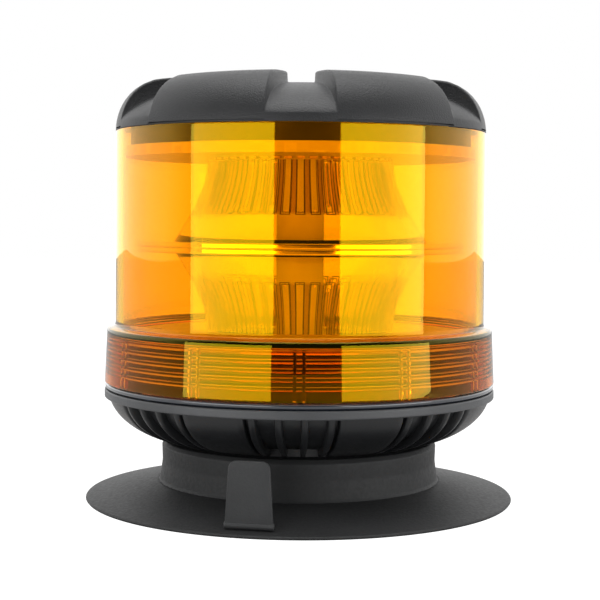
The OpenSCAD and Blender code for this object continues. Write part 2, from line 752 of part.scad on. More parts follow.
module amber_lens() color("#ff8a00", 0.6) {
    rotate_extrude() lens_wall_profile();
    rotate_extrude() for (i = [0 : skirt_ribs_n - 1])
        skirt_rib_profile(z_skirt - skirt_rib_top - skirt_rib_pitch * i);
    // Upright dividers inside the skirt, pairs of thin bars from its top to its foot
    ring(dividers_n, -90) for (s = [-1, 1]) rotate([0, 0, s * divider_offset - divider_angle / 2])
        rotate_extrude(angle = divider_angle) polygon([
            [skirt_in(z_lens) - divider_proud, z_lens], [skirt_in(z_lens) + bury, z_lens],
            [skirt_in(z_skirt) + bury, z_skirt - skirt_wall - 0.4],
            [skirt_in(z_skirt) - divider_proud, z_skirt - skirt_wall - 0.4]
        ]);
}

// The cap's outer face: a crowned top and an elliptic shoulder down to the rim
module cap_profile() {
    shoulder_c = cap_r - cap_shoulder_r;
    shoulder_top = cap_h - cap_rise;
    crown = [for (i = [0 : 7]) shoulder_c * i / 7];
    polygon(concat(
        [[0, z_rim]],
        [for (r = crown) [round_to(r), round_to(crown_z(r))]],
        arc(shoulder_c, z_rim, cap_shoulder_r, shoulder_top, 76, 0, 11)
    ));
}

// The lower dome that the scoops are cut down to, set in by depth
module floor_profile(depth) {
    polygon(concat([[0, z_rim], [0, z_rim + cap_h - scoop_depth - depth]],
        arc(floor_flat_r, z_rim, cap_r + 0.5 - floor_flat_r - depth, cap_h - scoop_depth - depth,
            90, 0, 12)));
}

// Outline of one scoop from above, pointing along +X
module scoop_outline() {
    mid_half_w = scoop_in_half_w * 0.55 + scoop_half_w * 0.45;
    polygon([
        [recess_r - 4, -scoop_in_half_w], [recess_r + 6, -scoop_in_half_w],
        [(recess_r + cap_r) / 2, -mid_half_w], [cap_r + 2, -scoop_half_w],
        [cap_r + 2, scoop_half_w], [(recess_r + cap_r) / 2, mid_half_w],
        [recess_r + 6, scoop_in_half_w], [recess_r - 4, scoop_in_half_w]
    ]);
}

module scoops() {
    difference() {
        translate([0, 0, z_rim]) linear_extrude(cap_h + cut) {
            ring(scoops_n, -90) scoop_outline();
            circle(r = recess_r);
        }
        rotate_extrude() floor_profile(0);
    }
}

// Hollow under the lower dome, with a hub for the tie bolt and bosses for the carrier screws
module cap_hollow() {
    difference() {
        rotate_extrude() intersection() {
            floor_profile(cap_wall);
            translate([0, z_lens_top - bury]) square([lens_bore_r - 5, cap_h]);
        }
        at_radius(3, carrier_screw_r, 0) cylinder(r = cap_boss_r, h = z_cap);
        cylinder(r = rod_r + 3, h = z_cap);
    }
}

module top_cap() color("#242628") difference() {
    rotate_extrude() cap_profile();
    scoops();
    cap_hollow();
    // Step that takes the top of the lens and the carrier
    translate([0, 0, z_rim - cut]) cylinder(r = rebate_r + slip, h = cap_overlap + cut);
    at_radius(3, carrier_screw_r, 0) translate([0, 0, z_rim])
        cylinder(d = small_screw_d + 0.2, h = cap_overlap + 5.5);
    translate([0, 0, z_rim]) cylinder(r = rod_r + face_gap, h = cap_h - scoop_depth - 1.5);
}

suction_foot();
release_tab();
magnet_pot();
ring_magnet();
pole_ring();
pole_pad();
foot_screws();
base_housing();
tie_bolt();
driver_board();
driver_screws();
inductor();
capacitors();
transistors();
control_chip();
terminal_block();
supply_leads();
cable_gland();
gland_seal();
gland_dome_nut();
vent_plug();
lens_gasket();
heat_spreader();
deck_screws();
lower_led_board();
lower_leds();
lower_optic();
lower_mirror_disc();
upper_mirror_disc();
upper_optic();
upper_leds();
upper_led_board();
core_tube();
core_leads();
lamp_carrier();
carrier_o_ring();
carrier_screws();
amber_lens();
top_cap();
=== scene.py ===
# %% [markdown]
# # A LED warning beacon, finished in Blender
#
# The beacon is a black lobed cap, a clear amber lens over fluted optics, a ribbed black housing, and a
# rubber foot that holds on with a vacuum and a magnet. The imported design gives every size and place. This
# script gives each piece its finished shape and finish, one short cell at a time.

import json
from math import atan2, cos, degrees, hypot, pi, radians, sin, sqrt, tan

import bmesh
import bpy
from mathutils import Matrix, Vector


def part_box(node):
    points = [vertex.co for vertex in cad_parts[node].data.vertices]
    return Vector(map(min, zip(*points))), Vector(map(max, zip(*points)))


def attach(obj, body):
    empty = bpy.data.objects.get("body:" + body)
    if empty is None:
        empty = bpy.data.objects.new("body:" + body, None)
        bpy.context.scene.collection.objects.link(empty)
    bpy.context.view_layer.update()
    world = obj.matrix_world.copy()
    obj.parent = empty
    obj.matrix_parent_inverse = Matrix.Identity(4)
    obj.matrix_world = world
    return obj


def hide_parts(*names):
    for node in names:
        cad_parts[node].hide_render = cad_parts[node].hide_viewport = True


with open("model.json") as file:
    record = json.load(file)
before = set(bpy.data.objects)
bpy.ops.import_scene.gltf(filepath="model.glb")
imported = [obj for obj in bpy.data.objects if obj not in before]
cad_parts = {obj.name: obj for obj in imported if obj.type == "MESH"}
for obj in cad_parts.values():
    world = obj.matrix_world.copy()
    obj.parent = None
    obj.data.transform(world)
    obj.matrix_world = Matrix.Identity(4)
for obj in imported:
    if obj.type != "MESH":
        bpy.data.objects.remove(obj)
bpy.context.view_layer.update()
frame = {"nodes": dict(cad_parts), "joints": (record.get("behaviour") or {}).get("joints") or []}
BODY = "beacon"
MM = 0.001

# %% [markdown]
# ## Sizes
#
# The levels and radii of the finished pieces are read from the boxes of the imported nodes, so a finished
# piece always lies where its node lies. The cap's dome would peak 0.42 mm over the box, if the recess
# didn't cut its middle away.


# %% Levels and radii, in metres
def low(node):
    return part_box(node)[0].z


def high(node):
    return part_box(node)[1].z


def radius(node):
    lo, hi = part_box(node)
    return max(hi.x, hi.y, -lo.x, -lo.y)


Z_NECK_TOP = high("suction_foot")
Z_RING_TOP = low("lens_gasket")
Z_LENS = low("amber_lens")
Z_LENS_TOP = high("amber_lens")
Z_RIM = low("top_cap")
Z_CAP = high("top_cap") + 0.42 * MM
FLANGE_R = radius("suction_foot")
HOUSING_R = radius("lens_gasket") + 0.2 * MM
CAP_R = radius("top_cap")
MIRROR_R = radius("lower_mirror_disc")
Z_MID = high("lower_mirror_disc")
print("radii, mm:", [round(r / MM, 1) for r in (CAP_R, HOUSING_R, FLANGE_R)])

# %% [markdown]
# ## Camera and light
#
# A long lens a little over half a metre away looks slightly down, from above the lens's middle. A small
# lens shift keeps the beacon's sides upright. The beacon stands on white paper before a white backdrop. Two
# low softboxes stand left and right of the camera, with a gap between them, so that a glossy tube shows two
# bright upright bands and a dark one in the middle. A softbox overhead lights the cap.

# %% Camera
EYE = Vector((0, -0.551, 0.1055))
PITCH = radians(2.0)
ROLL = radians(0.4)


def add_camera():
    data = bpy.data.cameras.new("product_camera")
    data.lens = 87.0
    data.sensor_width = 36.0
    data.shift_y = -0.0523
    data.clip_start = 0.02
    camera = bpy.data.objects.new("product_camera", data)
    bpy.context.scene.collection.objects.link(camera)
    aim = Vector((0, cos(PITCH), -sin(PITCH)))
    camera.location = EYE
    camera.rotation_mode = "QUATERNION"
    camera.rotation_quaternion = aim.to_track_quat("-Z", "Y") @ Matrix.Rotation(ROLL, 3, "Z").to_quaternion()
    bpy.context.scene.camera = camera
    return camera


camera = add_camera()
print("camera", [round(x, 3) for x in camera.location])


# %% [markdown]
# A softbox is an area lamp. Its radiance is what a reflection of it shows, so the power follows from that
# and from its size. The camera doesn't see the lamps, but a glossy wall does.


# %% Softboxes
def add_softbox(name, azimuth, distance, height, width, tall, radiance, tilt=0.0):
    """A rectangular lamp that faces the axis. azimuth 0 is the front, positive to the right."""
    data = bpy.data.lights.new(name, "AREA")
    data.shape = "RECTANGLE"
    data.size, data.size_y = width, tall
    data.energy = radiance * pi * width * tall
    lamp = bpy.data.objects.new(name, data)
    bpy.context.scene.collection.objects.link(lamp)
    a = radians(azimuth)
    lamp.location = (distance * sin(a), -distance * cos(a), height)
    aim = Vector((-sin(a) * cos(tilt), cos(a) * cos(tilt), -sin(tilt)))
    lamp.rotation_mode = "QUATERNION"
    lamp.rotation_quaternion = aim.to_track_quat("-Z", "Y")
    lamp.visible_camera = False
    return lamp


add_softbox("softbox_left", -41, 0.8, 0.097, 0.78, 0.19, 5.2)
add_softbox("softbox_right", 50, 0.8, 0.097, 0.82, 0.19, 5.2)
add_softbox("softbox_overhead", 0, 0.15, 0.8, 0.7, 0.7, 2.6, tilt=radians(79))


# %% [markdown]
# Floor and backdrop are white to the camera, and so is the floor through clear plastic. For the light that
# falls on things the floor is grey and the room in front is dim, so the undersides stay dark.


# %% Backdrop and floor
def seen_directly(nt):
    """1 for what the camera sees, straight or through clear plastic, and 0 for light on things."""
    path = nt.nodes.new("ShaderNodeLightPath")
    either = nt.nodes.new("ShaderNodeMath")
    either.operation = "MAXIMUM"
    nt.links.new(path.outputs["Is Camera Ray"], either.inputs[0])
    nt.links.new(path.outputs["Is Transmission Ray"], either.inputs[1])
    return either.outputs[0]


def set_backdrop():
    """White to the camera and behind the beacon, dim in front, like a dark studio with a lit wall."""
    world = bpy.data.worlds.new("studio")
    bpy.context.scene.world = world
    world.use_nodes = True
    nt = world.node_tree
    nt.nodes.clear()
    place = nt.nodes.new("ShaderNodeTexCoord")
    split = nt.nodes.new("ShaderNodeSeparateXYZ")
    nt.links.new(place.outputs["Generated"], split.inputs[0])
    fall = nt.nodes.new("ShaderNodeMapRange")
    fall.interpolation_type = "SMOOTHSTEP"
    fall.inputs["From Min"].default_value = -0.55
    fall.inputs["From Max"].default_value = 0.05
    fall.inputs["To Min"].default_value = 0.10
    fall.inputs["To Max"].default_value = 1.5
    nt.links.new(split.outputs["Y"], fall.inputs["Value"])
    studio = nt.nodes.new("ShaderNodeBackground")
    nt.links.new(fall.outputs["Result"], studio.inputs["Strength"])
    white = nt.nodes.new("ShaderNodeBackground")
    white.inputs["Strength"].default_value = 1.0
    path = nt.nodes.new("ShaderNodeLightPath")
    mix = nt.nodes.new("ShaderNodeMixShader")
    nt.links.new(path.outputs["Is Camera Ray"], mix.inputs["Fac"])
    nt.links.new(studio.outputs[0], mix.inputs[1])
    nt.links.new(white.outputs[0], mix.inputs[2])
    out = nt.nodes.new("ShaderNodeOutputWorld")
    nt.links.new(mix.outputs[0], out.inputs["Surface"])
    for node in (studio, white):
        node.inputs["Color"].default_value = (1, 1, 1, 1)


def add_floor(size=6.0):
    mesh = bpy.data.meshes.new("floor")
    h = size / 2
    mesh.from_pydata([(-h, -h, 0), (h, -h, 0), (h, h, 0), (-h, h, 0)], [], [(0, 1, 2, 3)])
    floor = bpy.data.objects.new("floor", mesh)
    bpy.context.scene.collection.objects.link(floor)
    material = bpy.data.materials.new("floor_paper")
    material.use_nodes = True
    nt = material.node_tree
    surface = nt.nodes["Principled BSDF"]
    surface.inputs["Base Color"].default_value = (0.55, 0.55, 0.55, 1)
    surface.inputs["Roughness"].default_value = 0.9
    surface.inputs["Specular IOR Level"].default_value = 0.1
    paper = nt.nodes.new("ShaderNodeEmission")
    paper.inputs["Strength"].default_value = 1.2
    mix = nt.nodes.new("ShaderNodeMixShader")
    nt.links.new(seen_directly(nt), mix.inputs["Fac"])
    nt.links.new(surface.outputs[0], mix.inputs[1])
    nt.links.new(paper.outputs[0], mix.inputs[2])
    nt.links.new(mix.outputs[0], nt.nodes["Material Output"].inputs["Surface"])
    mesh.materials.append(material)
    return floor


set_backdrop()
floor = add_floor()
bpy.context.scene.view_settings.view_transform = "Standard"
bpy.context.scene.view_settings.look = "None"
print("floor and backdrop are in")

# %% [markdown]
# ## Finishes
#
# A finish is a small tree of nodes on one Principled shader. Three things make moulded plastic and rubber
# look real up close: a fine grain in the surface, a slow change of tone over a few centimetres, and gloss
# that isn't quite even. All three read Object coordinates, which are metres in the beacon's own frame.


# %% Nodes that every finish uses
def new_finish(name, colour, roughness, metallic=0.0, specular=0.5):
    material = bpy.data.materials.new(name)
    material.use_nodes = True
    nt = material.node_tree
    surface = nt.nodes["Principled BSDF"]
    surface.inputs["Base Color"].default_value = (*colour, 1)
    surface.inputs["Roughness"].default_value = roughness
    surface.inputs["Metallic"].default_value = metallic
    surface.inputs["Specular IOR Level"].default_value = specular
    return material, nt, surface


def noise(nt, size, detail=2.0, stretch=(1, 1, 1)):
    """Noise whose blotches are about size metres across, in the piece's own frame."""
    place = nt.nodes.new("ShaderNodeTexCoord")
    scale = nt.nodes.new("ShaderNodeMapping")
    scale.inputs["Scale"].default_value = [k / size for k in stretch]
    nt.links.new(place.outputs["Object"], scale.inputs["Vector"])
    texture = nt.nodes.new("ShaderNodeTexNoise")
    texture.inputs["Scale"].default_value = 1.0
    texture.inputs["Detail"].default_value = detail
    nt.links.new(scale.outputs["Vector"], texture.inputs["Vector"])
    return texture.outputs["Fac"]


def between(nt, value, low_value, high_value, start=0.3, end=0.7):
    """The value, moved from the range start to end onto the range low_value to high_value."""
    node = nt.nodes.new("ShaderNodeMapRange")
    node.inputs["From Min"].default_value = start
    node.inputs["From Max"].default_value = end
    node.inputs["To Min"].default_value = low_value
    node.inputs["To Max"].default_value = high_value
    nt.links.new(value, node.inputs["Value"])
    return node.outputs["Result"]


def tint(nt, value, dark, light):
    """A colour between dark and light, as the value goes from 0.3 to 0.7."""
    node = nt.nodes.new("ShaderNodeMix")
    node.data_type = "RGBA"
    node.inputs["A"].default_value = (*dark, 1)
    node.inputs["B"].default_value = (*light, 1)
    nt.links.new(between(nt, value, 0, 1), node.inputs["Factor"])
    return node.outputs["Result"]


def bump(nt, surface, height, depth, strength=1.0):
    """Relief of the given depth in metres. A second call adds to the first."""
    node = nt.nodes.new("ShaderNodeBump")
    node.inputs["Distance"].default_value = depth
    node.inputs["Strength"].default_value = strength
    nt.links.new(height, node.inputs["Height"])
    if surface.inputs["Normal"].is_linked:
        nt.links.new(surface.inputs["Normal"].links[0].from_socket, node.inputs["Normal"])
    nt.links.new(node.outputs["Normal"], surface.inputs["Normal"])


def scaled(colour, k):
    return tuple(c * k for c in colour)


print("finish helpers are ready")


# %% [markdown]
# One recipe serves every moulded part. The cap has the coarsest grain, as its mould was spark-eroded. The
# housing is smoother, and the foot's rubber is the dullest.


# %% Moulded plastic and rubber
def moulded(name, colour, roughness, grain, depth, specular=0.5, mottle=0.18, patch=0.02):
    """A moulded surface: grain of the given size and depth, and slow changes of tone and gloss."""
    material, nt, surface = new_finish(name, colour, roughness, specular=specular)
    slow = noise(nt, patch, 3)
    fine = noise(nt, grain, 2)
    tone = tint(nt, slow, scaled(colour, 1 - mottle), scaled(colour, 1 + mottle))
    nt.links.new(tone, surface.inputs["Base Color"])
    nt.links.new(between(nt, fine, roughness - 0.06, roughness + 0.06), surface.inputs["Roughness"])
    bump(nt, surface, fine, depth)
    return material


CAP_BLACK = moulded("cap_black", (0.014, 0.0145, 0.0155), 0.46, 0.55 * MM, 0.16 * MM, specular=0.42)
HOUSING_BLACK = moulded("housing_black", (0.010, 0.0105, 0.0115), 0.36, 0.7 * MM, 0.05 * MM, specular=0.40)
RING_GREY = moulded("ring_grey", (0.050, 0.052, 0.055), 0.42, 0.7 * MM, 0.05 * MM, specular=0.45)
FOOT_RUBBER = moulded(
    "foot_rubber", (0.017, 0.0175, 0.018), 0.58, 1.2 * MM, 0.06 * MM, specular=0.30, patch=0.03
)
TAB_RUBBER = moulded("tab_rubber", (0.032, 0.033, 0.034), 0.56, 0.8 * MM, 0.06 * MM, specular=0.30)
GLAND_BLACK = moulded("gland_black", (0.022, 0.022, 0.024), 0.38, 0.6 * MM, 0.04 * MM)
CARRIER_BLACK = moulded("carrier_black", (0.020, 0.020, 0.021), 0.40, 0.8 * MM, 0.04 * MM)
SOFT_RUBBER = moulded("soft_rubber", (0.018, 0.018, 0.019), 0.55, 0.6 * MM, 0.03 * MM, specular=0.35)
RING_RUBBER = moulded("o_ring_rubber", (0.10, 0.045, 0.03), 0.45, 0.5 * MM, 0.02 * MM)
WHITE_NYLON = moulded("white_nylon", (0.78, 0.76, 0.71), 0.45, 1.0 * MM, 0.04 * MM, mottle=0.05)
print("moulded finishes:", len(bpy.data.materials))


# %% [markdown]
# The gasket is silicone with a wet-looking skin. Its moulding is smooth, so most of its life comes from a
# bluish sheen and from faint waves along the ring, where the clamping load pinches it.


# %% Glossy silicone
def make_silicone():
    material, nt, surface = new_finish("gasket_silicone", (0.012, 0.015, 0.022), 0.16, specular=0.7)
    waves = noise(nt, 9 * MM, 1, stretch=(1, 1, 0.3))
    slow = noise(nt, 25 * MM, 2)
    nt.links.new(tint(nt, slow, (0.009, 0.011, 0.016), (0.018, 0.023, 0.034)), surface.inputs["Base Color"])
    nt.links.new(between(nt, noise(nt, 3 * MM), 0.10, 0.24), surface.inputs["Roughness"])
    surface.inputs["Coat Weight"].default_value = 0.6
    surface.inputs["Coat Roughness"].default_value = 0.08
    bump(nt, surface, waves, 0.10 * MM)
    return material


GASKET_SILICONE = make_silicone()
print(GASKET_SILICONE.name)


# %% [markdown]
# ### Clear plastics
#
# The lens and the optics are solids with two faces to every wall, so a Principled shader with full
# transmission bends light as the real plastic does. The lens's skirt is thicker with its ribs, and its
# colour is painted a deeper red there: painted shade, for the dark collar that stands behind it. Rays from
# lamps can't find their way through bent glass, so for those rays alone the wall turns into a plain
# coloured filter. That lights the inside without grain.


# %% Amber and clear plastic
def clear_plastic(name, colour, filter_colour, ior, roughness, reflection, swirl, foot=None):
    """foot is a second, darker colour, painted shade, and the height below which it takes the place of the
    first.
    """
    material, nt, surface = new_finish(name, colour, roughness)
    surface.inputs["Transmission Weight"].default_value = 1.0
    surface.inputs["IOR"].default_value = ior
    surface.inputs["Specular Tint"].default_value = (*reflection, 1)
    flow = noise(nt, 14 * MM, 2, stretch=(1, 1, 0.35))
    specks = noise(nt, 0.6 * MM, 1)
    plain = tint(nt, flow, scaled(colour, 0.985), colour)
    # Painted shade: below the given height the colour gives way to the darker second colour.
    if foot:
        place, split = nt.nodes.new("ShaderNodeTexCoord"), nt.nodes.new("ShaderNodeSeparateXYZ")
        nt.links.new(place.outputs["Object"], split.inputs[0])
        blend = nt.nodes.new("ShaderNodeMix")
        blend.data_type = "RGBA"
        blend.inputs["A"].default_value = (*foot[0], 1)
        nt.links.new(plain, blend.inputs["B"])
        upper = between(nt, split.outputs["Z"], 0, 1, foot[1] - MM, foot[1] + MM)
        nt.links.new(upper, blend.inputs["Factor"])
        plain = blend.outputs["Result"]
    nt.links.new(plain, surface.inputs["Base Color"])
    nt.links.new(between(nt, specks, roughness, roughness + 0.02, 0.60, 0.75), surface.inputs["Roughness"])
    bump(nt, surface, flow, swirl)
    lamp_path = nt.nodes.new("ShaderNodeBsdfTransparent")
    lamp_path.inputs["Color"].default_value = (*filter_colour, 1)
    path = nt.nodes.new("ShaderNodeLightPath")
    mix = nt.nodes.new("ShaderNodeMixShader")
    nt.links.new(path.outputs["Is Shadow Ray"], mix.inputs["Fac"])
    nt.links.new(surface.outputs["BSDF"], mix.inputs[1])
    nt.links.new(lamp_path.outputs["BSDF"], mix.inputs[2])
    nt.links.new(mix.outputs["Shader"], nt.nodes["Material Output"].inputs["Surface"])
    return material


# The skirt's deep red, below the skirt's top, is painted shade for the dark collar behind it.
AMBER = clear_plastic(
    "amber_polycarbonate", (1.0, 0.52, 0.002), (1.0, 0.72, 0.10), 1.60, 0.008, (1.0, 0.78, 0.01), 0.02 * MM,
    foot=((0.62, 0.13, 0.0), Z_LENS + 19.4 * MM)
)
print(AMBER.name)


# %% [markdown]
# An optic is polished over each LED and frosted between, so its stripes are worked out from the angle round
# the axis. The frosted gaps are also painted darker, as painted shade, and a near-black painted shadow line
# runs round each flute. A wave that goes up and down once for each LED says how far a point is from the
# middle of its flute.


# %% Optic plastic
def optic_plastic(flutes, wide, reach):
    """Clear plastic, polished over each LED and frosted between, with painted shade in the gaps and a
    painted shadow line at each flute's edge.

    reach is the distance from the middle plane at which the flutes end."""
    material = clear_plastic(
        "optic_acrylic", (0.97, 0.97, 0.95), (0.97, 0.97, 0.96), 1.49, 0.02, (1, 1, 1), 0.001 * MM
    )
    nt = material.node_tree
    surface = nt.nodes["Principled BSDF"]
    place, split = nt.nodes.new("ShaderNodeTexCoord"), nt.nodes.new("ShaderNodeSeparateXYZ")
    nt.links.new(place.outputs["Object"], split.inputs[0])

    def maths(operation, *values):
        node = nt.nodes.new("ShaderNodeMath")
        node.operation = operation
        for socket, value in zip(node.inputs, values):
            if isinstance(value, (int, float)):
                socket.default_value = value
            else:
                nt.links.new(value, socket)
        return node.outputs[0]

    angle = maths("ARCTAN2", split.outputs["X"], split.outputs["Y"])
    wave = maths("PINGPONG", maths("MULTIPLY", angle, flutes / pi), 1.0)
    stripe = between(nt, wave, 0, 1, wide - 0.05, wide + 0.05)
    far = maths("ABSOLUTE", maths("SUBTRACT", split.outputs["Z"], Z_MID))
    # Marks the gaps between flutes near the LEDs: they are frosted there, and also painted darker as painted
    # shade.
    frost_and_shade = maths("MULTIPLY", stripe, between(nt, far, 0, 1, reach - 0.3 * MM, reach + 0.3 * MM))
    nt.links.new(between(nt, frost_and_shade, 0.02, 0.16, 0, 1), surface.inputs["Roughness"])
    # A painted shadow line, near black, along each flute's sides and across its end.
    past_side = maths("SUBTRACT", wave, wide)
    past_end = maths("MULTIPLY", maths("SUBTRACT", reach, far), 1 / (2.5 * MM))
    off_edge = maths("ABSOLUTE", maths("MAXIMUM", past_side, past_end))
    edge = between(nt, off_edge, 1, 0, 0.05, 0.12)
    plain = (0.97, 0.97, 0.95, 1)
    # Painted shade: a darker brown tone in the gaps between flutes, then a near-black painted shadow line at
    # each flute's edge and end.
    for amount, colour in ((frost_and_shade, (0.62, 0.46, 0.34, 1)), (edge, (0.06, 0.03, 0.015, 1))):
        blend = nt.nodes.new("ShaderNodeMix")
        blend.data_type = "RGBA"
        if isinstance(plain, tuple):
            blend.inputs["A"].default_value = plain
        else:
            nt.links.new(plain, blend.inputs["A"])
        blend.inputs["B"].default_value = colour
        nt.links.new(amount, blend.inputs["Factor"])
        plain = blend.outputs["Result"]
    nt.links.new(plain, surface.inputs["Base Color"])
    return material


# %% [markdown]
# ### Metals, boards and small parts
#
# These are inside or underneath, so they are simpler, but each still has the marks of how it is made:
# rolled lines on plate, a spangle on zinc, tracks under solder resist.


# %% Metals
def metal(name, colour, roughness, line, depth, stretch=(1, 1, 1), mottle=0.1):
    material, nt, surface = new_finish(name, colour, roughness, metallic=1.0)
    marks = noise(nt, line, 3, stretch)
    slow = noise(nt, 8 * MM, 2)
    nt.links.new(tint(nt, slow, scaled(colour, 1 - mottle), colour), surface.inputs["Base Color"])
    nt.links.new(between(nt, marks, roughness - 0.08, roughness + 0.1), surface.inputs["Roughness"])
    bump(nt, surface, marks, depth)
    return material


ZINC = metal("zinc_plate", (0.60, 0.61, 0.63), 0.34, 3 * MM, 0.01 * MM)
SCREW_STEEL = metal("screw_steel", (0.66, 0.66, 0.67), 0.28, 0.4 * MM, 0.006 * MM)
ALUMINIUM = metal("rolled_aluminium", (0.78, 0.79, 0.81), 0.30, 1.2 * MM, 0.01 * MM, stretch=(0.04, 1, 1))
MIRROR = metal("vacuum_plating", (0.93, 0.90, 0.84), 0.06, 20 * MM, 0.02 * MM, mottle=0.02)
FERRITE = moulded("ferrite", (0.055, 0.055, 0.058), 0.60, 0.6 * MM, 0.05 * MM, specular=0.35)
print("metals are ready")


# %% [markdown]
# Solder resist follows the copper under it. A square cell pattern gives the edges of such tracks.


# %% Circuit boards
def circuit_board(name, resist, track, cell):
    """Solder resist in two tones: over bare board, and over tracks."""
    material, nt, surface = new_finish(name, resist, 0.35)
    place = nt.nodes.new("ShaderNodeTexCoord")
    cells = nt.nodes.new("ShaderNodeTexVoronoi")
    cells.distance = "CHEBYCHEV"
    cells.feature = "F2"
    cells.inputs["Scale"].default_value = 1 / cell
    cells.inputs["Randomness"].default_value = 0.6
    nt.links.new(place.outputs["Object"], cells.inputs["Vector"])
    ridge = between(nt, cells.outputs["Distance"], 0.3, 0.7, 0.45, 0.55)
    nt.links.new(tint(nt, ridge, resist, track), surface.inputs["Base Color"])
    nt.links.new(between(nt, noise(nt, 4 * MM), 0.28, 0.42), surface.inputs["Roughness"])
    bump(nt, surface, ridge, 0.03 * MM)
    return material


GREEN_BOARD = circuit_board("green_board", (0.02, 0.13, 0.05), (0.03, 0.20, 0.08), 3.5 * MM)
WHITE_BOARD = circuit_board("white_board", (0.80, 0.78, 0.72), (0.70, 0.67, 0.58), 4.0 * MM)
INDUCTOR_LACQUER = moulded("inductor_lacquer", (0.06, 0.065, 0.08), 0.30, 0.8 * MM, 0.06 * MM)
CAPACITOR_SLEEVE = moulded("capacitor_sleeve", (0.03, 0.04, 0.14), 0.25, 2 * MM, 0.01 * MM, mottle=0.1)
CHIP_EPOXY = moulded("chip_epoxy", (0.018, 0.018, 0.02), 0.50, 0.2 * MM, 0.02 * MM)
TERMINAL_GREEN = moulded("terminal_green", (0.05, 0.22, 0.09), 0.42, 0.6 * MM, 0.03 * MM)
WIRE_RED = moulded("wire_red", (0.32, 0.03, 0.02), 0.38, 1.5 * MM, 0.02 * MM)
WIRE_YELLOW = moulded("wire_yellow", (0.60, 0.42, 0.05), 0.38, 1.5 * MM, 0.02 * MM)
LED_PHOSPHOR = moulded(
    "led_phosphor", (0.80, 0.55, 0.10), 0.25, 0.3 * MM, 0.02 * MM, mottle=0.25, patch=1.6 * MM
)
print("finishes in all:", len(bpy.data.materials))

# %% [markdown]
# ## How the shapes are made
#
# Nearly everything here is turned, or repeats round the axis. So there are three helpers. The first rounds
# the corners of an outline. The second spins an outline round the axis, and can move each point by its
# angle, for scoops and bars. The third is a Geometry Nodes tree that copies one item round the axis.


# %% Outlines with rounded corners
def rounded(points, closed=True, steps=4):
    """Turns corners (x, z, corner radius) into a smooth outline of (x, z)."""
    outline = []
    count = len(points)
    for i, (x, z, corner) in enumerate(points):
        if corner <= 0 or (not closed and i in (0, count - 1)):
            outline.append((x, z))
            continue
        here = Vector((x, z))
        back = Vector(points[i - 1][:2]) - here
        on = Vector(points[(i + 1) % count][:2]) - here
        half = back.angle(on) / 2
        reach = min(corner / tan(half), 0.48 * back.length, 0.48 * on.length)
        r = reach * tan(half)
        centre = here + (back.normalized() + on.normalized()).normalized() * (r / sin(half))
        a = here + back.normalized() * reach - centre
        b = here + on.normalized() * reach - centre
        turn = atan2(a.x * b.y - a.y * b.x, a.dot(b))
        start = atan2(a.y, a.x)
        for k in range(steps + 1):
            t = start + turn * k / steps
            outline.append((centre.x + r * cos(t), centre.y + r * sin(t)))
    return outline


def ellipse(centre_x, centre_z, rx, rz, start, end, steps):
    return [
        (centre_x + rx * cos(radians(start + (end - start) * k / steps)),
         centre_z + rz * sin(radians(start + (end - start) * k / steps)))
        for k in range(steps + 1)
    ]


def supported(outline, closed, reach=0.3 * MM):
    """Adds a point near each end of every long straight run, so that soft shading stays out of the flats."""
    points = []
    count = len(outline)
    for i in range(count):
        points.append(outline[i])
        if i == count - 1 and not closed:
            break
        a, b = Vector(outline[i]), Vector(outline[(i + 1) % count])
        if (b - a).length > 4 * reach:
            step = (b - a).normalized() * reach
            points += [tuple(a + step), tuple(b - step)]
    return points


print("a rounded square has", len(rounded([(0, 0, 1), (9, 0, 1), (9, 9, 1), (0, 9, 1)])), "points")


# %% [markdown]
# Every mesh goes through one tidying step: it merges doubles, points the faces outwards and marks sharp
# edges.


# %% Meshes
def new_piece(name, vertices, faces, material, smooth_angle=35):
    mesh = bpy.data.meshes.new(name)
    mesh.from_pydata(vertices, [], faces)
    piece = bpy.data.objects.new(name, mesh)
    bpy.context.scene.collection.objects.link(piece)
    mesh.materials.append(material)
    tidy_mesh(piece, smooth_angle)
    return piece


def tidy_mesh(piece, smooth_angle=35):
    """Merges doubles, points the faces outwards, and shades smooth except across sharp edges."""
    bm = bmesh.new()
    bm.from_mesh(piece.data)
    bmesh.ops.remove_doubles(bm, verts=bm.verts, dist=1e-7)
    bmesh.ops.recalc_face_normals(bm, faces=bm.faces)
    for face in bm.faces:
        face.smooth = True
    for edge in bm.edges:
        edge.smooth = len(edge.link_faces) == 2 and edge.calc_face_angle(0) < radians(smooth_angle)
    bm.to_mesh(piece.data)
    bm.free()


def even_angles(count):
    return [360 * i / count for i in range(count)]


def spun(name, outline, material, angles=None, move=None, closed=True, smooth_angle=35):
    """Spins an outline of (r, z) round the axis. move(index, r, z, angle) may shift a point's r and z.

    An outline that isn't closed starts and ends on the axis."""
    angles = angles or even_angles(160)
    outline = supported(outline, closed)
    vertices, rows = [], []
    for i, (r, z) in enumerate(outline):
        if r < 1e-9:
            rows.append([len(vertices)] * len(angles))
            vertices.append((0, 0, z))
            continue
        row = []
        for a in angles:
            rr, zz = move(i, r, z, a) if move else (r, z)
            row.append(len(vertices))
            vertices.append((rr * cos(radians(a)), rr * sin(radians(a)), zz))
        rows.append(row)
    faces = []
    spans = len(rows) if closed else len(rows) - 1
    for i in range(spans):
        lower, upper = rows[i], rows[(i + 1) % len(rows)]
        for k in range(len(angles)):
            n = (k + 1) % len(angles)
            face = [lower[k], lower[n], upper[n], upper[k]]
            face = [v for j, v in enumerate(face) if v not in face[:j]]
            if len(face) > 2:
                faces.append(face)
    return new_piece(name, vertices, faces, material, smooth_angle)


print("turned pieces have", len(even_angles(160)), "steps round the axis")


# %% [markdown]
# The tree of copies takes any item that is modelled beside the axis. Points carry the copies, the point's
# index sets each copy's turn, and the copies become real and are welded before they get their finish.


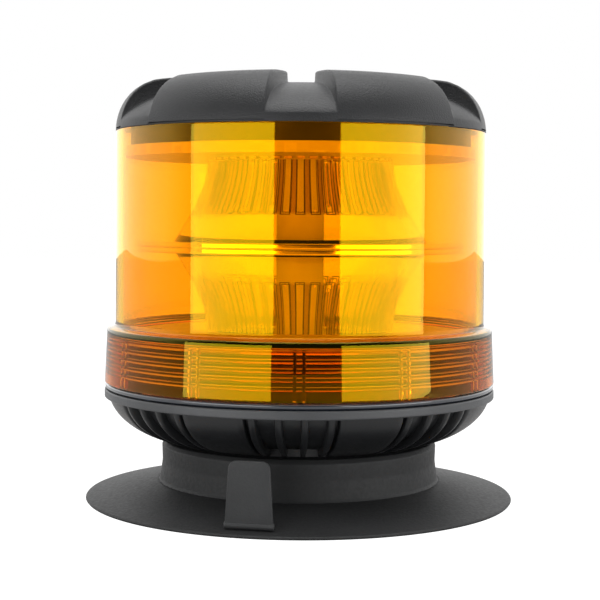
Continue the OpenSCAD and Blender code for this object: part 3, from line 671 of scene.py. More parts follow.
# %% A ring of copies, in Geometry Nodes
def make_ring_tree():
    """Copies the object's own mesh about the Z axis, Count times with Step degrees between, from Start."""
    tree = bpy.data.node_groups.new("ring_of_copies", "GeometryNodeTree")
    tree.interface.new_socket("Item", in_out="INPUT", socket_type="NodeSocketGeometry")
    tree.interface.new_socket("Count", in_out="INPUT", socket_type="NodeSocketInt")
    for name in ("Start", "Step", "Weld"):
        tree.interface.new_socket(name, in_out="INPUT", socket_type="NodeSocketFloat")
    tree.interface.new_socket("Finish", in_out="INPUT", socket_type="NodeSocketMaterial")
    tree.interface.new_socket("Ring", in_out="OUTPUT", socket_type="NodeSocketGeometry")
    node, link = tree.nodes.new, tree.links.new
    given, made = node("NodeGroupInput"), node("NodeGroupOutput")
    points = node("GeometryNodePoints")
    link(given.outputs["Count"], points.inputs["Count"])
    index = node("GeometryNodeInputIndex")
    turn = node("ShaderNodeMath")
    turn.operation = "MULTIPLY_ADD"
    link(index.outputs[0], turn.inputs[0])
    link(given.outputs["Step"], turn.inputs[1])
    link(given.outputs["Start"], turn.inputs[2])
    to_radians = node("ShaderNodeMath")
    to_radians.operation = "RADIANS"
    link(turn.outputs[0], to_radians.inputs[0])
    about_z = node("ShaderNodeCombineXYZ")
    link(to_radians.outputs[0], about_z.inputs["Z"])
    copies = node("GeometryNodeInstanceOnPoints")
    link(points.outputs[0], copies.inputs["Points"])
    link(given.outputs["Item"], copies.inputs["Instance"])
    link(about_z.outputs[0], copies.inputs["Rotation"])
    real = node("GeometryNodeRealizeInstances")
    link(copies.outputs[0], real.inputs[0])
    weld = node("GeometryNodeMergeByDistance")
    link(real.outputs[0], weld.inputs["Geometry"])
    link(given.outputs["Weld"], weld.inputs["Distance"])
    finish = node("GeometryNodeSetMaterial")
    link(weld.outputs[0], finish.inputs["Geometry"])
    link(given.outputs["Finish"], finish.inputs["Material"])
    link(finish.outputs[0], made.inputs[0])
    return tree


RING_TREE = make_ring_tree()


def repeat_round(piece, count, material, start=0.0, step=None, weld=0.0):
    """Runs the tree on a piece and keeps the result as its plain mesh."""
    modifier = piece.modifiers.new("ring", "NODES")
    modifier.node_group = RING_TREE
    values = {"Count": count, "Start": start, "Step": 360 / count if step is None else step, "Weld": weld,
              "Finish": material}
    for socket in RING_TREE.interface.items_tree:
        if socket.in_out == "INPUT" and socket.name in values:
            value = values[socket.name]
            modifier[socket.identifier] = float(value) if socket.socket_type == "NodeSocketFloat" else value
    graph = bpy.context.evaluated_depsgraph_get()
    mesh = bpy.data.meshes.new_from_object(piece.evaluated_get(graph))
    piece.modifiers.clear()
    piece.data = mesh
    return piece


def joined(name, pieces):
    """One piece from several, all in the beacon's frame already."""
    bm = bmesh.new()
    for piece in pieces:
        bm.from_mesh(piece.data)
    mesh = bpy.data.meshes.new(name)
    bm.to_mesh(mesh)
    bm.free()
    mesh.materials.append(pieces[0].data.materials[0])
    whole = bpy.data.objects.new(name, mesh)
    bpy.context.scene.collection.objects.link(whole)
    for piece in pieces:
        bpy.data.objects.remove(piece)
    return whole


print("tree inputs:", [s.name for s in RING_TREE.interface.items_tree if s.in_out == "INPUT"])

# %% [markdown]
# ## The foot
#
# Neck and flange are one rubber moulding, turned in one outline: a web under the housing, a neck round the
# magnet's pot, and a flange that thins towards a sealing lip. Rubber has no crisp edge, so each corner of
# the outline gets a radius.

# %% Neck and flange
NECK_R = 52.0 * MM
ROOT_Z = 7.2 * MM
POT_R = radius("magnet_pot") + 0.1 * MM
WEB_HOLE_R = 10.7 * MM


def make_foot():
    lip = FLANGE_R
    outline = rounded([
        (WEB_HOLE_R, Z_NECK_TOP, 0.5 * MM), (WEB_HOLE_R, Z_NECK_TOP - 2.4 * MM, 0.3 * MM),
        (POT_R, Z_NECK_TOP - 2.4 * MM, 0.3 * MM), (POT_R, 4.0 * MM, 0.8 * MM),
        (POT_R + 3 * MM, 3.4 * MM, 1 * MM),
        (lip - 6.0 * MM, 1.5 * MM, 3 * MM), (lip - 3.4 * MM, 0, 0.5 * MM), (lip - 0.5 * MM, 0, 0.3 * MM),
        (lip, 0.6 * MM, 0.3 * MM), (lip - 0.5 * MM, 1.15 * MM, 0.4 * MM), (lip - 4 * MM, 1.85 * MM, 8 * MM),
        (NECK_R + 1.6 * MM, ROOT_Z - 0.4 * MM, 0.5 * MM), (NECK_R + 0.9 * MM, ROOT_Z - 0.5 * MM, 0.25 * MM),
        (NECK_R + 0.5 * MM, ROOT_Z + 0.6 * MM, 0.6 * MM), (NECK_R - 0.3 * MM, ROOT_Z + 7 * MM, 8 * MM),
        (NECK_R - 0.1 * MM, Z_NECK_TOP - 1.5 * MM, 1.2 * MM), (NECK_R - 1.3 * MM, Z_NECK_TOP, 0.6 * MM)
    ], steps=5)
    return spun("rubber_foot", outline, FOOT_RUBBER, angles=even_angles(220))


foot = make_foot()
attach(foot, BODY)
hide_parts("suction_foot")
print("foot:", len(foot.data.polygons), "faces")

# %% [markdown]
# ## The release tab
#
# A flap with rounded top corners that tapers upwards. Its root is a rounded bead along the fold. It rides
# on its own body, whose joint gives the fold's axis, so it is built upright on that axis.

# %% Tab
FOLD = frame["joints"][0]
TAB_FOLD = Vector(FOLD["pos_m"])
TAB_AXIS = Vector(FOLD["axis"]).normalized()


def make_tab():
    height = high("release_tab") - TAB_FOLD.z
    half, lean, corner, thick = 8.3 * MM, 1.3 * MM, 2.8 * MM, 1.7 * MM
    side = rounded([
        (-half, 0, 0), (half, 0, 0), (half - lean, height, corner), (-half + lean, height, corner)
    ], steps=8)
    front = [Vector((x, -thick / 2, z)) for x, z in side]
    back = [Vector((x, thick / 2, z)) for x, z in side]
    n = len(side)
    faces = [list(range(n)), list(range(2 * n - 1, n - 1, -1))]
    faces += [[i, (i + 1) % n, (i + 1) % n + n, i + n] for i in range(n)]
    flap = new_piece("release_flap", front + back, faces, TAB_RUBBER)
    rim = flap.modifiers.new("rim", "BEVEL")
    rim.width, rim.segments, rim.limit_method, rim.angle_limit = 0.45 * MM, 3, "ANGLE", radians(40)
    graph = bpy.context.evaluated_depsgraph_get()
    flap.data = bpy.data.meshes.new_from_object(flap.evaluated_get(graph))
    flap.modifiers.clear()
    bead_r, bead_half = 1.2 * MM, 8.6 * MM
    bead = spun("bead", rounded([
        (0, -bead_half, 0), (bead_r, -bead_half, 0.5 * MM), (bead_r, bead_half, 0.5 * MM), (0, bead_half, 0)
    ], closed=False), TAB_RUBBER, angles=even_angles(24), closed=False)
    bead.data.transform(Matrix.Rotation(pi / 2, 4, "Y"))
    tab = joined("release_flap_body", [flap, bead])
    place = Matrix.Translation(TAB_FOLD) @ Matrix.Rotation(atan2(TAB_AXIS.y, TAB_AXIS.x), 4, "Z")
    tab.data.transform(place)
    tidy_mesh(tab)
    return tab


tab = make_tab()
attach(tab, "tab")
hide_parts("release_tab")
print("tab stands", round((high("release_tab") - TAB_FOLD.z) / MM, 1), "mm over its fold")

# %% [markdown]
# ## The housing
#
# The bowl is turned. Its cooling fins follow the bowl's curve, so one fin is lofted along the same ellipse,
# and so is the wide smooth pad that comes between rows of fins. The tree of copies makes a row of four
# fins, and then sets the row and its pad eight times round.

# %% Bowl, flange ring and collar
BOLT_HOLE_R = 4.8 * MM
BOWL_H = Z_RING_TOP - Z_NECK_TOP
BOWL_R = 72.2 * MM
BOWL_FLAT_R = 40 * MM
FIN_DEPTH = 2.6 * MM
WALL = 2.4 * MM
COLLAR_R = 68.0 * MM
Z_DECK = low("lower_led_board")
RING_T = 3.1 * MM


def bowl_arc(inset, start, end, steps):
    return ellipse(BOWL_FLAT_R, Z_RING_TOP, BOWL_R - BOWL_FLAT_R - inset, BOWL_H - inset, start, end, steps)


def make_bowl():
    inner = bowl_arc(FIN_DEPTH + WALL, -4, -90, 14)
    outer = bowl_arc(FIN_DEPTH, -73.7, -8.6, 22)
    collar_in = COLLAR_R - 5.6 * MM
    ledge_z = low("heat_spreader")
    floor_edge = [(BOLT_HOLE_R, Z_NECK_TOP), (47.2 * MM, Z_NECK_TOP), (48.2 * MM, Z_NECK_TOP + 0.7 * MM)]
    outline = floor_edge + outer + rounded([
        (HOUSING_R - 1.4 * MM, Z_RING_TOP - RING_T - 0.3 * MM, 0.3 * MM),
        (HOUSING_R - 1.2 * MM, Z_RING_TOP - RING_T + 0.3 * MM, 0.1 * MM),
        (HOUSING_R - 1.2 * MM, Z_RING_TOP - 0.3 * MM, 0.1 * MM),
        (COLLAR_R + 0.1 * MM, Z_RING_TOP - 0.3 * MM, 0.1 * MM), (COLLAR_R, Z_DECK, 0.4 * MM),
        (COLLAR_R - 2.6 * MM, Z_DECK, 0.2 * MM), (COLLAR_R - 2.6 * MM, ledge_z, 0.1 * MM),
        (collar_in, ledge_z, 0.3 * MM), (collar_in, Z_RING_TOP - 2 * MM, 0.3 * MM)
    ], closed=False) + inner + [(BOLT_HOLE_R, Z_NECK_TOP + FIN_DEPTH + WALL)]
    return spun("bowl", outline, HOUSING_BLACK, angles=even_angles(200))


def make_raised_bar(half, inner_steps):
    """A bar on the +X side of the bowl, half degrees each way, lofted along the bowl's ellipse."""
    edge = [(0.25, -0.25), (0.0, 0.0), (-0.14, 0.7), (-0.3, 0.91), (-0.55, 1.0)]
    cross = [(-half - a, lift) for a, lift in edge]
    cross += [(-(half - 0.55) + 2 * (half - 0.55) * k / inner_steps, 1.0) for k in range(1, inner_steps)]
    cross += [(half + a, lift) for a, lift in reversed(edge)]
    steps = 18
    vertices = []
    for k in range(steps + 1):
        t = radians(-76.5 + 70 * k / steps)
        for side, lift in cross:
            inset = FIN_DEPTH * (1 - lift)
            r = BOWL_FLAT_R + (BOWL_R - BOWL_FLAT_R - inset) * cos(t)
            z = Z_RING_TOP + (BOWL_H - inset) * sin(t)
            vertices.append((r * cos(radians(side)), r * sin(radians(side)), z))
    n = len(cross)
    faces = [[k * n + i, k * n + (i + 1) % n, (k + 1) * n + (i + 1) % n, (k + 1) * n + i]
             for k in range(steps) for i in range(n)]
    faces += [list(range(n)), [steps * n + i for i in range(n)]]
    return new_piece("raised_bar", vertices, faces, HOUSING_BLACK, 50)


def make_rim():
    """The flange ring that the lens is clamped on, turned on its own so that it can have a lighter grey
    finish of its own.
    """
    return spun("flange_ring", rounded([
        (HOUSING_R - 1.5 * MM, Z_RING_TOP - RING_T, 0.1 * MM), (HOUSING_R, Z_RING_TOP - RING_T, 0.4 * MM),
        (HOUSING_R, Z_RING_TOP - 0.05 * MM, 0.5 * MM),
        (COLLAR_R + 0.2 * MM, Z_RING_TOP - 0.05 * MM, 0.1 * MM),
        (COLLAR_R + 0.2 * MM, Z_RING_TOP - 0.5 * MM, 0.1 * MM),
        (HOUSING_R - 1.5 * MM, Z_RING_TOP - 0.5 * MM, 0.1 * MM)
    ]), RING_GREY, angles=even_angles(220))


SETS = 8
FINS = 4
FIN_HALF = 1.15
PAD_HALF = 9.5
FIN_STEP = (360 / SETS - 2 * PAD_HALF - 2 * 0.9 - 2 * FIN_HALF) / (FINS - 1)
PATTERN_TURN = -92
first_fin = -FIN_STEP * (FINS - 1) / 2
fin_row = repeat_round(make_raised_bar(FIN_HALF, 2), FINS, HOUSING_BLACK, first_fin, FIN_STEP)
pad = make_raised_bar(PAD_HALF, 10)
pad.data.transform(Matrix.Rotation(pi / SETS, 4, "Z"))
relief = repeat_round(joined("fins_and_pad", [fin_row, pad]), SETS, HOUSING_BLACK, PATTERN_TURN)
print(SETS, "pads,", SETS * FINS, "fins,", round(FIN_STEP, 2), "degrees apart")

# %% [markdown]
# Bosses square the bowl's side for the cable gland and the vent, and stand up inside for the screws. They
# are plain turned posts, so one helper makes them all.


# %% Bosses
def post(bottom, top, outer, inner, place):
    """A tube from z bottom to top, moved by the matrix place."""
    soft = 0.3 * MM
    tube = spun("post", rounded([
        (inner, bottom, soft / 2), (outer, bottom, soft), (outer, top, soft), (inner, top, soft / 2)
    ], steps=2), HOUSING_BLACK, angles=even_angles(40))
    tube.data.transform(place)
    return tube


def out_of_side(angle, z):
    """Turns +Z to point out of the bowl's side at the given angle round the axis, at height z."""
    outward = Matrix.Rotation(radians(angle), 4, "Z") @ Matrix.Rotation(pi / 2, 4, "Y")
    return Matrix.Translation((0, 0, z)) @ outward


gland_lo, gland_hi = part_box("cable_gland")
GLAND_Z = (gland_lo.z + gland_hi.z) / 2
GLAND_SEAT = BOWL_R
vent_lo, vent_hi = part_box("vent_plug")
vent_middle = (vent_lo + vent_hi) / 2
VENT_ANGLE = degrees(atan2(vent_middle.y, vent_middle.x))
bosses = [
    post(GLAND_SEAT - 11 * MM, GLAND_SEAT, 7.9 * MM, 5.25 * MM, out_of_side(90, GLAND_Z)),
    post(GLAND_SEAT - 10 * MM, GLAND_SEAT, 5.6 * MM, 3.05 * MM, out_of_side(VENT_ANGLE, GLAND_Z)),
]
inside_floor = Z_NECK_TOP + FIN_DEPTH + WALL
standoff_top = low("driver_board")
for turn in (30, 150, 270):
    around = Matrix.Rotation(radians(turn), 4, "Z") @ Matrix.Translation((44 * MM, 0, 0))
    bosses.append(post(inside_floor - MM, standoff_top, 3.2 * MM, 1.6 * MM, around))
    around = Matrix.Rotation(radians(turn + 60), 4, "Z") @ Matrix.Translation((15 * MM, 0, 0))
    bosses.append(post(inside_floor - MM, Z_NECK_TOP + 8 * MM, 5 * MM, 2.6 * MM, around))
housing = joined("ribbed_housing", [make_bowl(), relief] + bosses)
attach(housing, BODY)
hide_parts("base_housing")
flange_ring = make_rim()
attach(flange_ring, BODY)

# %% [markdown]
# ## The gasket
#
# The silicone ring bulges a little between housing and lens, because the tie bolt squeezes it.

# %% Gasket
def make_gasket():
    top = Z_LENS
    r = HOUSING_R - 0.2 * MM
    outline = rounded([
        (COLLAR_R + 0.2 * MM, Z_RING_TOP, 0), (r - 0.9 * MM, Z_RING_TOP + 0.05 * MM, 0.3 * MM),
        (r - 0.05 * MM, Z_RING_TOP + 0.7 * MM, 0.7 * MM), (r - 0.05 * MM, top - 0.8 * MM, 0.7 * MM),
        (r - 0.8 * MM, top, 0.3 * MM), (COLLAR_R + 0.2 * MM, top, 0)
    ], steps=5)
    return spun("seal_ring", outline, GASKET_SILICONE, angles=even_angles(220))


gasket = make_gasket()
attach(gasket, BODY)
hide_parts("lens_gasket")
print("gasket bulges to", round(radius("lens_gasket") / MM, 1), "mm")

# %% [markdown]
# ## The lens
#
# The lens is one amber moulding. Its outside is smooth: a tube, a rounded shoulder and a slightly conical
# skirt. The ribs that scatter light are inside the skirt, and upright bars cross them twelve times round.
# Because it is clear, both faces of the wall are one closed mesh, with nothing buried in it.

# %% Lens
SKIRT_TOP = Z_LENS + 20.2 * MM
LENS_R = 69.5 * MM
LENS_BORE = 66.9 * MM
SKIRT_WALL = 2.2 * MM
SKIRT_TAPER = 0.9 * MM
RIBS = 5
RIB_PITCH = 3.05 * MM
RIB_PROUD = 0.8 * MM
BAR_PROUD = 1.1 * MM
BAR_SETS = 12
BAR_OFFSET = 1.25
BAR_HALF = 0.35


def skirt_outside(z):
    return HOUSING_R - SKIRT_TAPER * (z - Z_LENS) / (SKIRT_TOP - Z_LENS)


def skirt_inside(z):
    return skirt_outside(z) - SKIRT_WALL


def skirt_ribs():
    """Corners of the ribs on the inner face, from the foot of the skirt up."""
    corners = []
    for i in reversed(range(RIBS)):
        z = SKIRT_TOP - 3.4 * MM - RIB_PITCH * i
        half = RIB_PITCH * 0.3
        for dz, proud in ((-half, 0), (-half * 0.4, RIB_PROUD), (half * 0.4, RIB_PROUD), (half, 0)):
            corners.append((skirt_inside(z + dz) - proud, z + dz, 0.16 * MM))
    return corners


def lens_outline():
    return rounded([
        (skirt_inside(Z_LENS), Z_LENS, 0.25 * MM), (skirt_outside(Z_LENS), Z_LENS, 0.35 * MM),
        (skirt_outside(SKIRT_TOP), SKIRT_TOP - 0.2 * MM, 1.3 * MM),
        (LENS_R + 0.1 * MM, SKIRT_TOP + 1.0 * MM, 0.8 * MM), (LENS_R, SKIRT_TOP + 2.4 * MM, 1.2 * MM),
        (LENS_R, Z_RIM - 0.1 * MM, 0.15 * MM), (LENS_R - 1.6 * MM, Z_RIM - 0.1 * MM, 0.1 * MM),
        (LENS_R - 1.6 * MM, Z_LENS_TOP, 0.2 * MM), (LENS_BORE, Z_LENS_TOP, 0.2 * MM),
        (LENS_BORE, SKIRT_TOP - 0.4 * MM, 1.0 * MM),
        (skirt_inside(SKIRT_TOP - 2.2 * MM), SKIRT_TOP - 2.2 * MM, 0.6 * MM)
    ] + list(reversed(skirt_ribs())), steps=3)


def bar_angles():
    """Even steps round the axis, with extra ones at the edges of every upright bar."""
    angles = {round(a, 3) for a in even_angles(120)}
    for i in range(BAR_SETS):
        for s in (-1, 1):
            centre = 360 * i / BAR_SETS - 90 + s * BAR_OFFSET
            for edge in (0, BAR_HALF * 0.5, BAR_HALF, BAR_HALF + 0.12):
                angles.add(round((centre + edge) % 360, 3))
                angles.add(round((centre - edge) % 360, 3))
    return sorted(angles)


def bar_height(angle):
    """1 on an upright bar, 0 off it."""
    step = 360 / BAR_SETS
    off = abs((angle + 90 + step / 2) % step - step / 2)
    return 1.0 if abs(off - BAR_OFFSET) < BAR_HALF + 0.01 else 0.0


def move_bars(index, r, z, angle):
    inside = z > Z_LENS + 0.3 * MM and z < SKIRT_TOP - 2.9 * MM and r < skirt_inside(z) + 0.05 * MM
    if inside and r > LENS_BORE and bar_height(angle):
        return min(r, skirt_inside(z) - BAR_PROUD), z
    return r, z


lens = spun("lens_shell", lens_outline(), AMBER, angles=bar_angles(), move=move_bars, smooth_angle=28)
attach(lens, BODY)
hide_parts("amber_lens")
print("lens:", len(lens.data.polygons), "faces")

# %% [markdown]
# ## The optics
#
# Each optic is a flared ring of clear plastic over a ring of LEDs. Every LED has a flute up the inner face.
# One flute's share of the ring is modelled, 7.5 degrees of it, and the tree of copies closes the ring and
# welds the seams. The upper optic is the lower one turned over about the plane between the mirror discs.

# %% One optic
FLUTES = 48
OPTIC_FOOT = high("lower_leds") + 0.3 * MM
OPTIC_H = low("lower_mirror_disc") - OPTIC_FOOT
THROAT_R = 35.3 * MM
MOUTH_R = 47.8 * MM
OPTIC_WALL = 4.2 * MM
FLUTE_DEPTH = 0.4 * MM
FLUTE_TOP = 0.66
FLUTE_SHARE = 0.58
OPTIC_CURVE = 1.65
CLEAR = optic_plastic(FLUTES, FLUTE_SHARE, (Z_MID - OPTIC_FOOT) - OPTIC_H * FLUTE_TOP)


def flare(t, inset):
    """Radius and height at share t of the optic's height, set in from its outer face."""
    r = THROAT_R + (MOUTH_R - THROAT_R) * t ** OPTIC_CURVE
    return r - inset * (1 + 0.25 * t), OPTIC_FOOT + OPTIC_H * t


def flute_step(x):
    """How deep the flute is at share x of the way across: 1 within it, 0 outside, with short ramps."""
    edge = FLUTE_SHARE
    ramp = 0.05
    return max(0.0, min(1.0, (edge + ramp / 2 - abs(x)) / ramp))


def make_optic(name):
    half_across = [0.2, 0.4, 0.555, 0.58, 0.605, 0.64, 0.82, 1]
    across = [-x for x in reversed(half_across)] + [0] + half_across
    up = [0, 0.03] + [0.03 + (FLUTE_TOP - 0.03) * k / 12 for k in range(1, 13)]
    up += [FLUTE_TOP + 0.012, FLUTE_TOP + 0.03]
    up += [FLUTE_TOP + 0.03 + (1 - FLUTE_TOP - 0.03) * k / 5 for k in range(1, 6)]
    half_angle = 180 / FLUTES
    vertices, columns = [], []
    for x in across:
        a = radians(half_angle * x - 90)
        column = []
        outer = [flare(t, 0) for t in up]
        inner = []
        for t in up:
            round_top = sqrt(max(0.0, 1 - (abs(x) / FLUTE_SHARE) ** 2)) if abs(x) < FLUTE_SHARE else 0.0
            top = FLUTE_TOP - 0.06 * (1 - round_top)
            depth = flute_step(x) * (1.0 if t <= top + 1e-6 else 0.0)
            inner.append(flare(t, OPTIC_WALL - FLUTE_DEPTH * depth))
        for r, z in outer + inner[::-1]:
            column.append(len(vertices))
            vertices.append((r * cos(a), r * sin(a), z))
        columns.append(column)
    faces = []
    n = len(columns[0])
    for k in range(len(columns) - 1):
        for i in range(n):
            j = (i + 1) % n
            faces.append([columns[k][i], columns[k + 1][i], columns[k + 1][j], columns[k][j]])
    sector = new_piece(name, vertices, faces, CLEAR, 30)
    ring = repeat_round(sector, FLUTES, CLEAR, weld=0.002 * MM)
    tidy_mesh(ring, 30)
    return ring


lower_optic = make_optic("fluted_optic_lower")
upper_optic = make_optic("fluted_optic_upper")
upper_optic.data.transform(Matrix.Translation((0, 0, 2 * Z_MID)) @ Matrix.Diagonal((1, 1, -1, 1)))
upper_optic.data.flip_normals()
for optic, node in ((lower_optic, "lower_optic"), (upper_optic, "upper_optic")):
    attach(optic, BODY)
    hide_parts(node)
print("one optic:", len(lower_optic.data.polygons), "faces")

# %% [markdown]
# ## The mirror discs
#
# Two plated discs meet edge to edge in the middle. Each edge is a short polished cylinder between two small
# roundings, which is what draws the pair of bright lines round the beacon's waist.


# %% Discs
def make_disc(name, bottom, top):
    bore = 9.4 * MM
    soft = 0.35 * MM
    return spun(name, rounded([
        (bore, bottom, 0.1 * MM), (MIRROR_R, bottom, soft), (MIRROR_R, top, soft), (bore, top, 0.1 * MM)
    ]), MIRROR, angles=even_angles(200))


for name, node in (("lower_reflector", "lower_mirror_disc"), ("upper_reflector", "upper_mirror_disc")):
    disc = make_disc(name, low(node), high(node))
    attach(disc, BODY)
    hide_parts(node)
print("discs reach", round(MIRROR_R / MM, 1), "mm")

# %% [markdown]
# ## The cap
#
# The cap is a low dome with six raised lobes. Between the lobes, and over a round recess in the middle, a
# lower dome shows. One half of a sector is enough to model: a strip of faces climbs the edge of a lobe over
# a rounded lip, a second patch covers the lobe's top, and two more cover the floor. Every corner of the
# mesh takes its height from one of the two domes, so the shape stays true however the patches are cut.

# %% The two domes
LOBES = 6
SHOULDER_R = 16 * MM
SHOULDER_H = Z_CAP - Z_RIM - 2.4 * MM
CROWN_DROP = 2.0 * MM
FLOOR_FLAT_R = 26 * MM
FLOOR_H = Z_CAP - Z_RIM - 4.4 * MM
RECESS_R = 28 * MM


def ease(x, start, end):
    """0 before start, 1 after end, and an S-shaped change between."""
    t = max(0.0, min(1.0, (x - start) / (end - start)))
    return t * t * (3 - 2 * t)


def lobe_dome(r):
    shoulder = CAP_R - SHOULDER_R
    crown = Z_CAP - CROWN_DROP * (r / shoulder) ** 2.4
    reach = max(0.0, min(1.0, (r - shoulder) / SHOULDER_R))
    curve = Z_RIM + SHOULDER_H * sqrt(1 - reach * reach)
    k = ease(r, shoulder - 4 * MM, shoulder + 6 * MM)
    return crown * (1 - k) + curve * k


def floor_dome(r, inset=0.0):
    reach = max(0.0, (r - FLOOR_FLAT_R) / (CAP_R + 0.5 * MM - FLOOR_FLAT_R - inset))
    return Z_RIM + (FLOOR_H - inset) * sqrt(max(0.0, 1 - reach * reach))


def floor_shown(r):
    return min(floor_dome(r), lobe_dome(r))


print("the floor lies", round((lobe_dome(0.04) - floor_dome(0.04)) / MM, 1), "mm under the lobes at 40 mm")

# %% [markdown]
# The edge of a lobe, seen from above: along the side of the notch from the rim inwards, round a corner, and
# along the recess to the lobe's middle line. Each point carries the direction that points into the lobe.


# %% The edge of a lobe
LOBE_CORNER = 5 * MM
HALF_SECTOR = pi / LOBES


def notch_half_width(x):
    t = x - 33 * MM
    return 4.6 * MM + 0.212 * (t + sqrt(t * t + (3 * MM) ** 2)) / 2


def lobe_edge():
    corner_y = notch_half_width(31.5 * MM) + LOBE_CORNER
    corner_x = sqrt((RECESS_R + LOBE_CORNER) ** 2 - corner_y ** 2)
    side = []
    shoulder = CAP_R - SHOULDER_R
    climb = (1.6, 3.2, 5, 7, 9.5, 12.5, 16, 20, 25, 31, 38, 46, 55, 65, 76)
    radii = [shoulder + SHOULDER_R * cos(radians(a)) for a in climb]
    radii += [k * MM for k in (56.5, 54, 51, 47.5, 44, 40.5, 37, 34)]
    for r in radii:
        x = r
        for _ in range(5):
            x = sqrt(r * r - notch_half_width(x) ** 2)
        slope = (notch_half_width(x + 0.1 * MM) - notch_half_width(x - 0.1 * MM)) / (0.2 * MM)
        side.append((Vector((x, notch_half_width(x))), Vector((-slope, 1)).normalized()))
    last = atan2(corner_y, corner_x)
    for k in range(8):
        a = -pi / 2 - (pi / 2 - last) * k / 7
        out = Vector((cos(a), sin(a)))
        side.append((Vector((corner_x, corner_y)) + out * LOBE_CORNER, -out))
    for k in range(1, 6):
        a = last + (HALF_SECTOR - last) * k / 5
        out = Vector((cos(a), sin(a)))
        side.append((out * RECESS_R, out))
    return side


EDGE = lobe_edge()
CORNER_START = len(EDGE) - 13
print("edge points:", len(EDGE))


# %% [markdown]
# Four patches fill the half sector: the strip over the edge, the lobe's top, the notch's floor and the
# recess.


# %% Patches of one half sector
LIP = 0.9 * MM
FOOT = 0.5 * MM


def across_edge(point, inward):
    """Corners from the notch's floor, up the wall, over the rounded lip and onto the lobe."""
    tall = max(0.0, lobe_dome(point.length) - floor_dome(point.length))
    lip, foot = max(0.2 * MM, min(LIP, 0.7 * tall)), max(0.1 * MM, min(FOOT, 0.3 * tall))
    row = []
    for d, rise in ((-foot, 0), (-0.4 * foot, 0.2 * foot), (0, foot)):
        p = point + inward * d
        row.append((p.x, p.y, min(floor_shown(p.length) + rise, lobe_dome(p.length))))
    for k in range(6):
        a = radians(18 * k)
        p = point + inward * (0.15 * MM + lip * (1 - cos(a)))
        top = lobe_dome(p.length)
        row.append((p.x, p.y, max(top - lip * (1 - sin(a)), floor_shown(p.length))))
    return row


def on_circle(r, angle, height):
    return (r * cos(angle), r * sin(angle), height(r))


def sector_patches():
    strip = [across_edge(p, n) for p, n in EDGE]
    tops, floors = [], []
    mid_start = hypot(*strip[CORNER_START][-1][:2])
    mid_end = hypot(*strip[-1][-1][:2])
    for i, row in enumerate(strip):
        x, y, _ = row[-1]
        r, a = hypot(x, y), atan2(y, x)
        k = max(0, i - CORNER_START) / (len(strip) - 1 - CORNER_START)
        r_mid = r if i <= CORNER_START else mid_start + (mid_end - mid_start) * k
        tops.append([
            on_circle(r + (r_mid - r) * j / 8, a + (HALF_SECTOR - a) * j / 8, lobe_dome) for j in range(9)
        ])
        x, y, _ = row[0]
        if i <= CORNER_START + 7:
            r, a = hypot(x, y), atan2(y, x)
            floors.append([on_circle(r, a * j / 5, floor_shown) for j in range(6)])
    ring_angles = [a for a in (atan2(v[1], v[0]) for v in floors[-1])]
    ring_angles += [atan2(row[0][1], row[0][0]) for row in strip[CORNER_START + 8:]]
    ring_r = hypot(*floors[-1][-1][:2])
    shares = (1, 0.9, 0.72, 0.5, 0.25, 0)
    recess = [[on_circle(ring_r * k, a, floor_shown) for a in ring_angles] for k in shares]
    return strip, tops, floors, recess


def make_sector():
    vertices, faces = [], []
    for patch in sector_patches():
        for flip in (1, -1):
            start, width = len(vertices), len(patch[0])
            vertices += [(x, flip * y, z) for row in patch for x, y, z in row]
            for i in range(len(patch) - 1):
                for j in range(width - 1):
                    a = start + i * width + j
                    faces.append([a, a + 1, a + width + 1, a + width])
    return new_piece("cap_sector", vertices, faces, CAP_BLACK, 40)


sector = make_sector()
rim_angles = sorted({round(degrees(atan2(v.co.y, v.co.x)), 4) for v in sector.data.vertices
                     if v.co.xy.length > CAP_R - 0.02 * MM})
print("sector:", len(sector.data.polygons), "faces,", len(rim_angles), "corners on the rim")

# %% [markdown]
# The underside closes the cap: a rounded rim, the step that sits over the lens, and the hollow with its hub
# for the tie bolt. Its steps round the axis match the sectors' corners on the rim, so the two weld shut.


# %% Whole cap
def make_cap(sector):
    whole = repeat_round(sector, LOBES, CAP_BLACK, start=-90, weld=0.01 * MM)
    step = 360 / LOBES
    angles = sorted({round((a + step * k - 90) % 360, 3) for a in rim_angles[:-1] for k in range(LOBES)})
    rim_z = min(v.co.z for v in whole.data.vertices)
    rim_r = max(v.co.xy.length for v in whole.data.vertices)
    step_r = 68.1 * MM
    hollow_r = 61.9 * MM
    hub_r = 5.5 * MM
    cap_wall = 2.5 * MM
    arc = [(r, floor_dome(r, cap_wall)) for r in (hollow_r, 58 * MM, 52 * MM, 44 * MM, 35 * MM, 26 * MM)]
    outline = [(rim_r, rim_z)] + rounded([
        (rim_r, rim_z, 0), (rim_r, Z_RIM, 0.4 * MM), (step_r, Z_RIM, 0.2 * MM),
        (step_r, Z_LENS_TOP + 0.05 * MM, 0.2 * MM),
        (hollow_r, Z_LENS_TOP + 0.05 * MM, 0.2 * MM), (arc[0][0], arc[0][1], 0)
    ], closed=False)[1:] + arc[1:] + [(hub_r, arc[-1][1]), (hub_r, Z_LENS_TOP), (0, Z_LENS_TOP)]
    under = spun("cap_underside", outline, CAP_BLACK, angles=angles, closed=False)
    cap = joined("lobed_cap", [whole, under])
    bm = bmesh.new()
    bm.from_mesh(cap.data)
    bmesh.ops.remove_doubles(bm, verts=bm.verts, dist=0.02 * MM)
    open_edges = sum(1 for e in bm.edges if len(e.link_faces) != 2)
    bm.to_mesh(cap.data)
    bm.free()
    tidy_mesh(cap, 40)
    print("cap:", len(cap.data.polygons), "faces,", open_edges, "open edges")
    return cap


cap = make_cap(sector)
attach(cap, BODY)
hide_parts("top_cap")

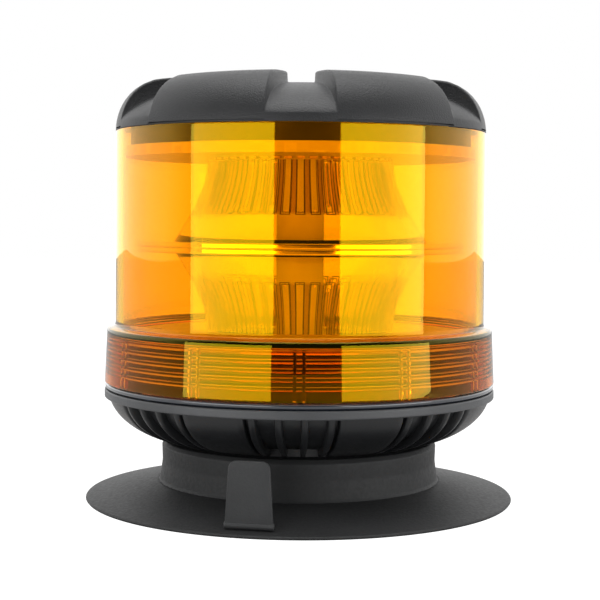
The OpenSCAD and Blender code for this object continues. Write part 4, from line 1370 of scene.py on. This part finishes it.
# %% [markdown]
# ## The gland's dome nut
#
# A hexagon nut is a turned shape cut by six flats, which is what gives a real nut its curved chamfers. So
# the outline is spun, and no point may lie further out than the flat at its angle.


# %% Dome nut
def make_dome_nut():
    lo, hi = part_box("gland_dome_nut")
    flats = (hi.z - lo.z) / 2
    long = hi.y - lo.y
    tall = long - 1.2 * MM

    def cut_flats(index, r, z, angle):
        flat = flats / cos(radians((angle + 30) % 60 - 30))
        return (min(r, flat), z) if r > flats - 0.5 * MM else (r, z)

    outline = rounded([
        (3.5 * MM, 0, 0.2 * MM), (flats + 0.4 * MM, 0, 0.5 * MM), (flats + 0.95 * MM, 0.5 * MM, 0.3 * MM),
        (flats + 0.95 * MM, tall - 0.5 * MM, 0.3 * MM), (flats - 0.2 * MM, tall, 0.4 * MM),
        (flats - 0.9 * MM, tall + 0.1 * MM, 0.2 * MM), (flats - 1.5 * MM, long, 0.7 * MM),
        (3.5 * MM, long, 0.3 * MM)
    ], steps=4)
    nut = spun("dome_nut", outline, GLAND_BLACK, angles=even_angles(96), move=cut_flats, smooth_angle=24)
    place = Matrix.Translation((0, lo.y, (lo.z + hi.z) / 2)) @ Matrix.Rotation(-pi / 2, 4, "X")
    nut.data.transform(place @ Matrix.Rotation(pi / 6, 4, "Z"))
    return nut


dome_nut = make_dome_nut()
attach(dome_nut, BODY)
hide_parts("gland_dome_nut")
print("dome nut is", round((high("gland_dome_nut") - low("gland_dome_nut")) / MM, 1), "mm over flats")

# %% [markdown]
# ## Finishes of the design's own pieces
#
# Plates, screws, boards and LEDs are right as they were designed, so those nodes stay and only get a
# finish.

# %% Carried pieces
NODE_FINISH = {
    "magnet_pot": ZINC, "pole_ring": ZINC, "ring_magnet": FERRITE, "pole_pad": SOFT_RUBBER,
    "foot_screws": SCREW_STEEL, "tie_bolt": SCREW_STEEL, "driver_screws": SCREW_STEEL,
    "deck_screws": SCREW_STEEL, "carrier_screws": SCREW_STEEL, "driver_board": GREEN_BOARD,
    "inductor": INDUCTOR_LACQUER, "capacitors": CAPACITOR_SLEEVE, "transistors": CHIP_EPOXY,
    "control_chip": CHIP_EPOXY, "terminal_block": TERMINAL_GREEN, "supply_leads": WIRE_RED,
    "cable_gland": GLAND_BLACK, "gland_seal": SOFT_RUBBER, "vent_plug": GLAND_BLACK,
    "heat_spreader": ALUMINIUM, "lower_led_board": WHITE_BOARD, "upper_led_board": WHITE_BOARD,
    "lower_leds": LED_PHOSPHOR, "upper_leds": LED_PHOSPHOR, "core_tube": WHITE_NYLON,
    "core_leads": WIRE_YELLOW,
    "lamp_carrier": CARRIER_BLACK, "carrier_o_ring": RING_RUBBER,
}
for node, finish in NODE_FINISH.items():
    mesh = frame["nodes"][node].data
    mesh.materials.clear()
    mesh.materials.append(finish)
replaced = {"suction_foot", "release_tab", "base_housing", "lens_gasket", "amber_lens", "lower_optic",
            "upper_optic", "lower_mirror_disc", "upper_mirror_disc", "top_cap", "gland_dome_nut"}
print("nodes without a finish:", sorted(set(frame["nodes"]) - set(NODE_FINISH) - replaced))

# %% [markdown]
# ## Size
#
# The finished beacon has to be as large as the design. Here the scene is only brought up to date.

bpy.context.view_layer.update()
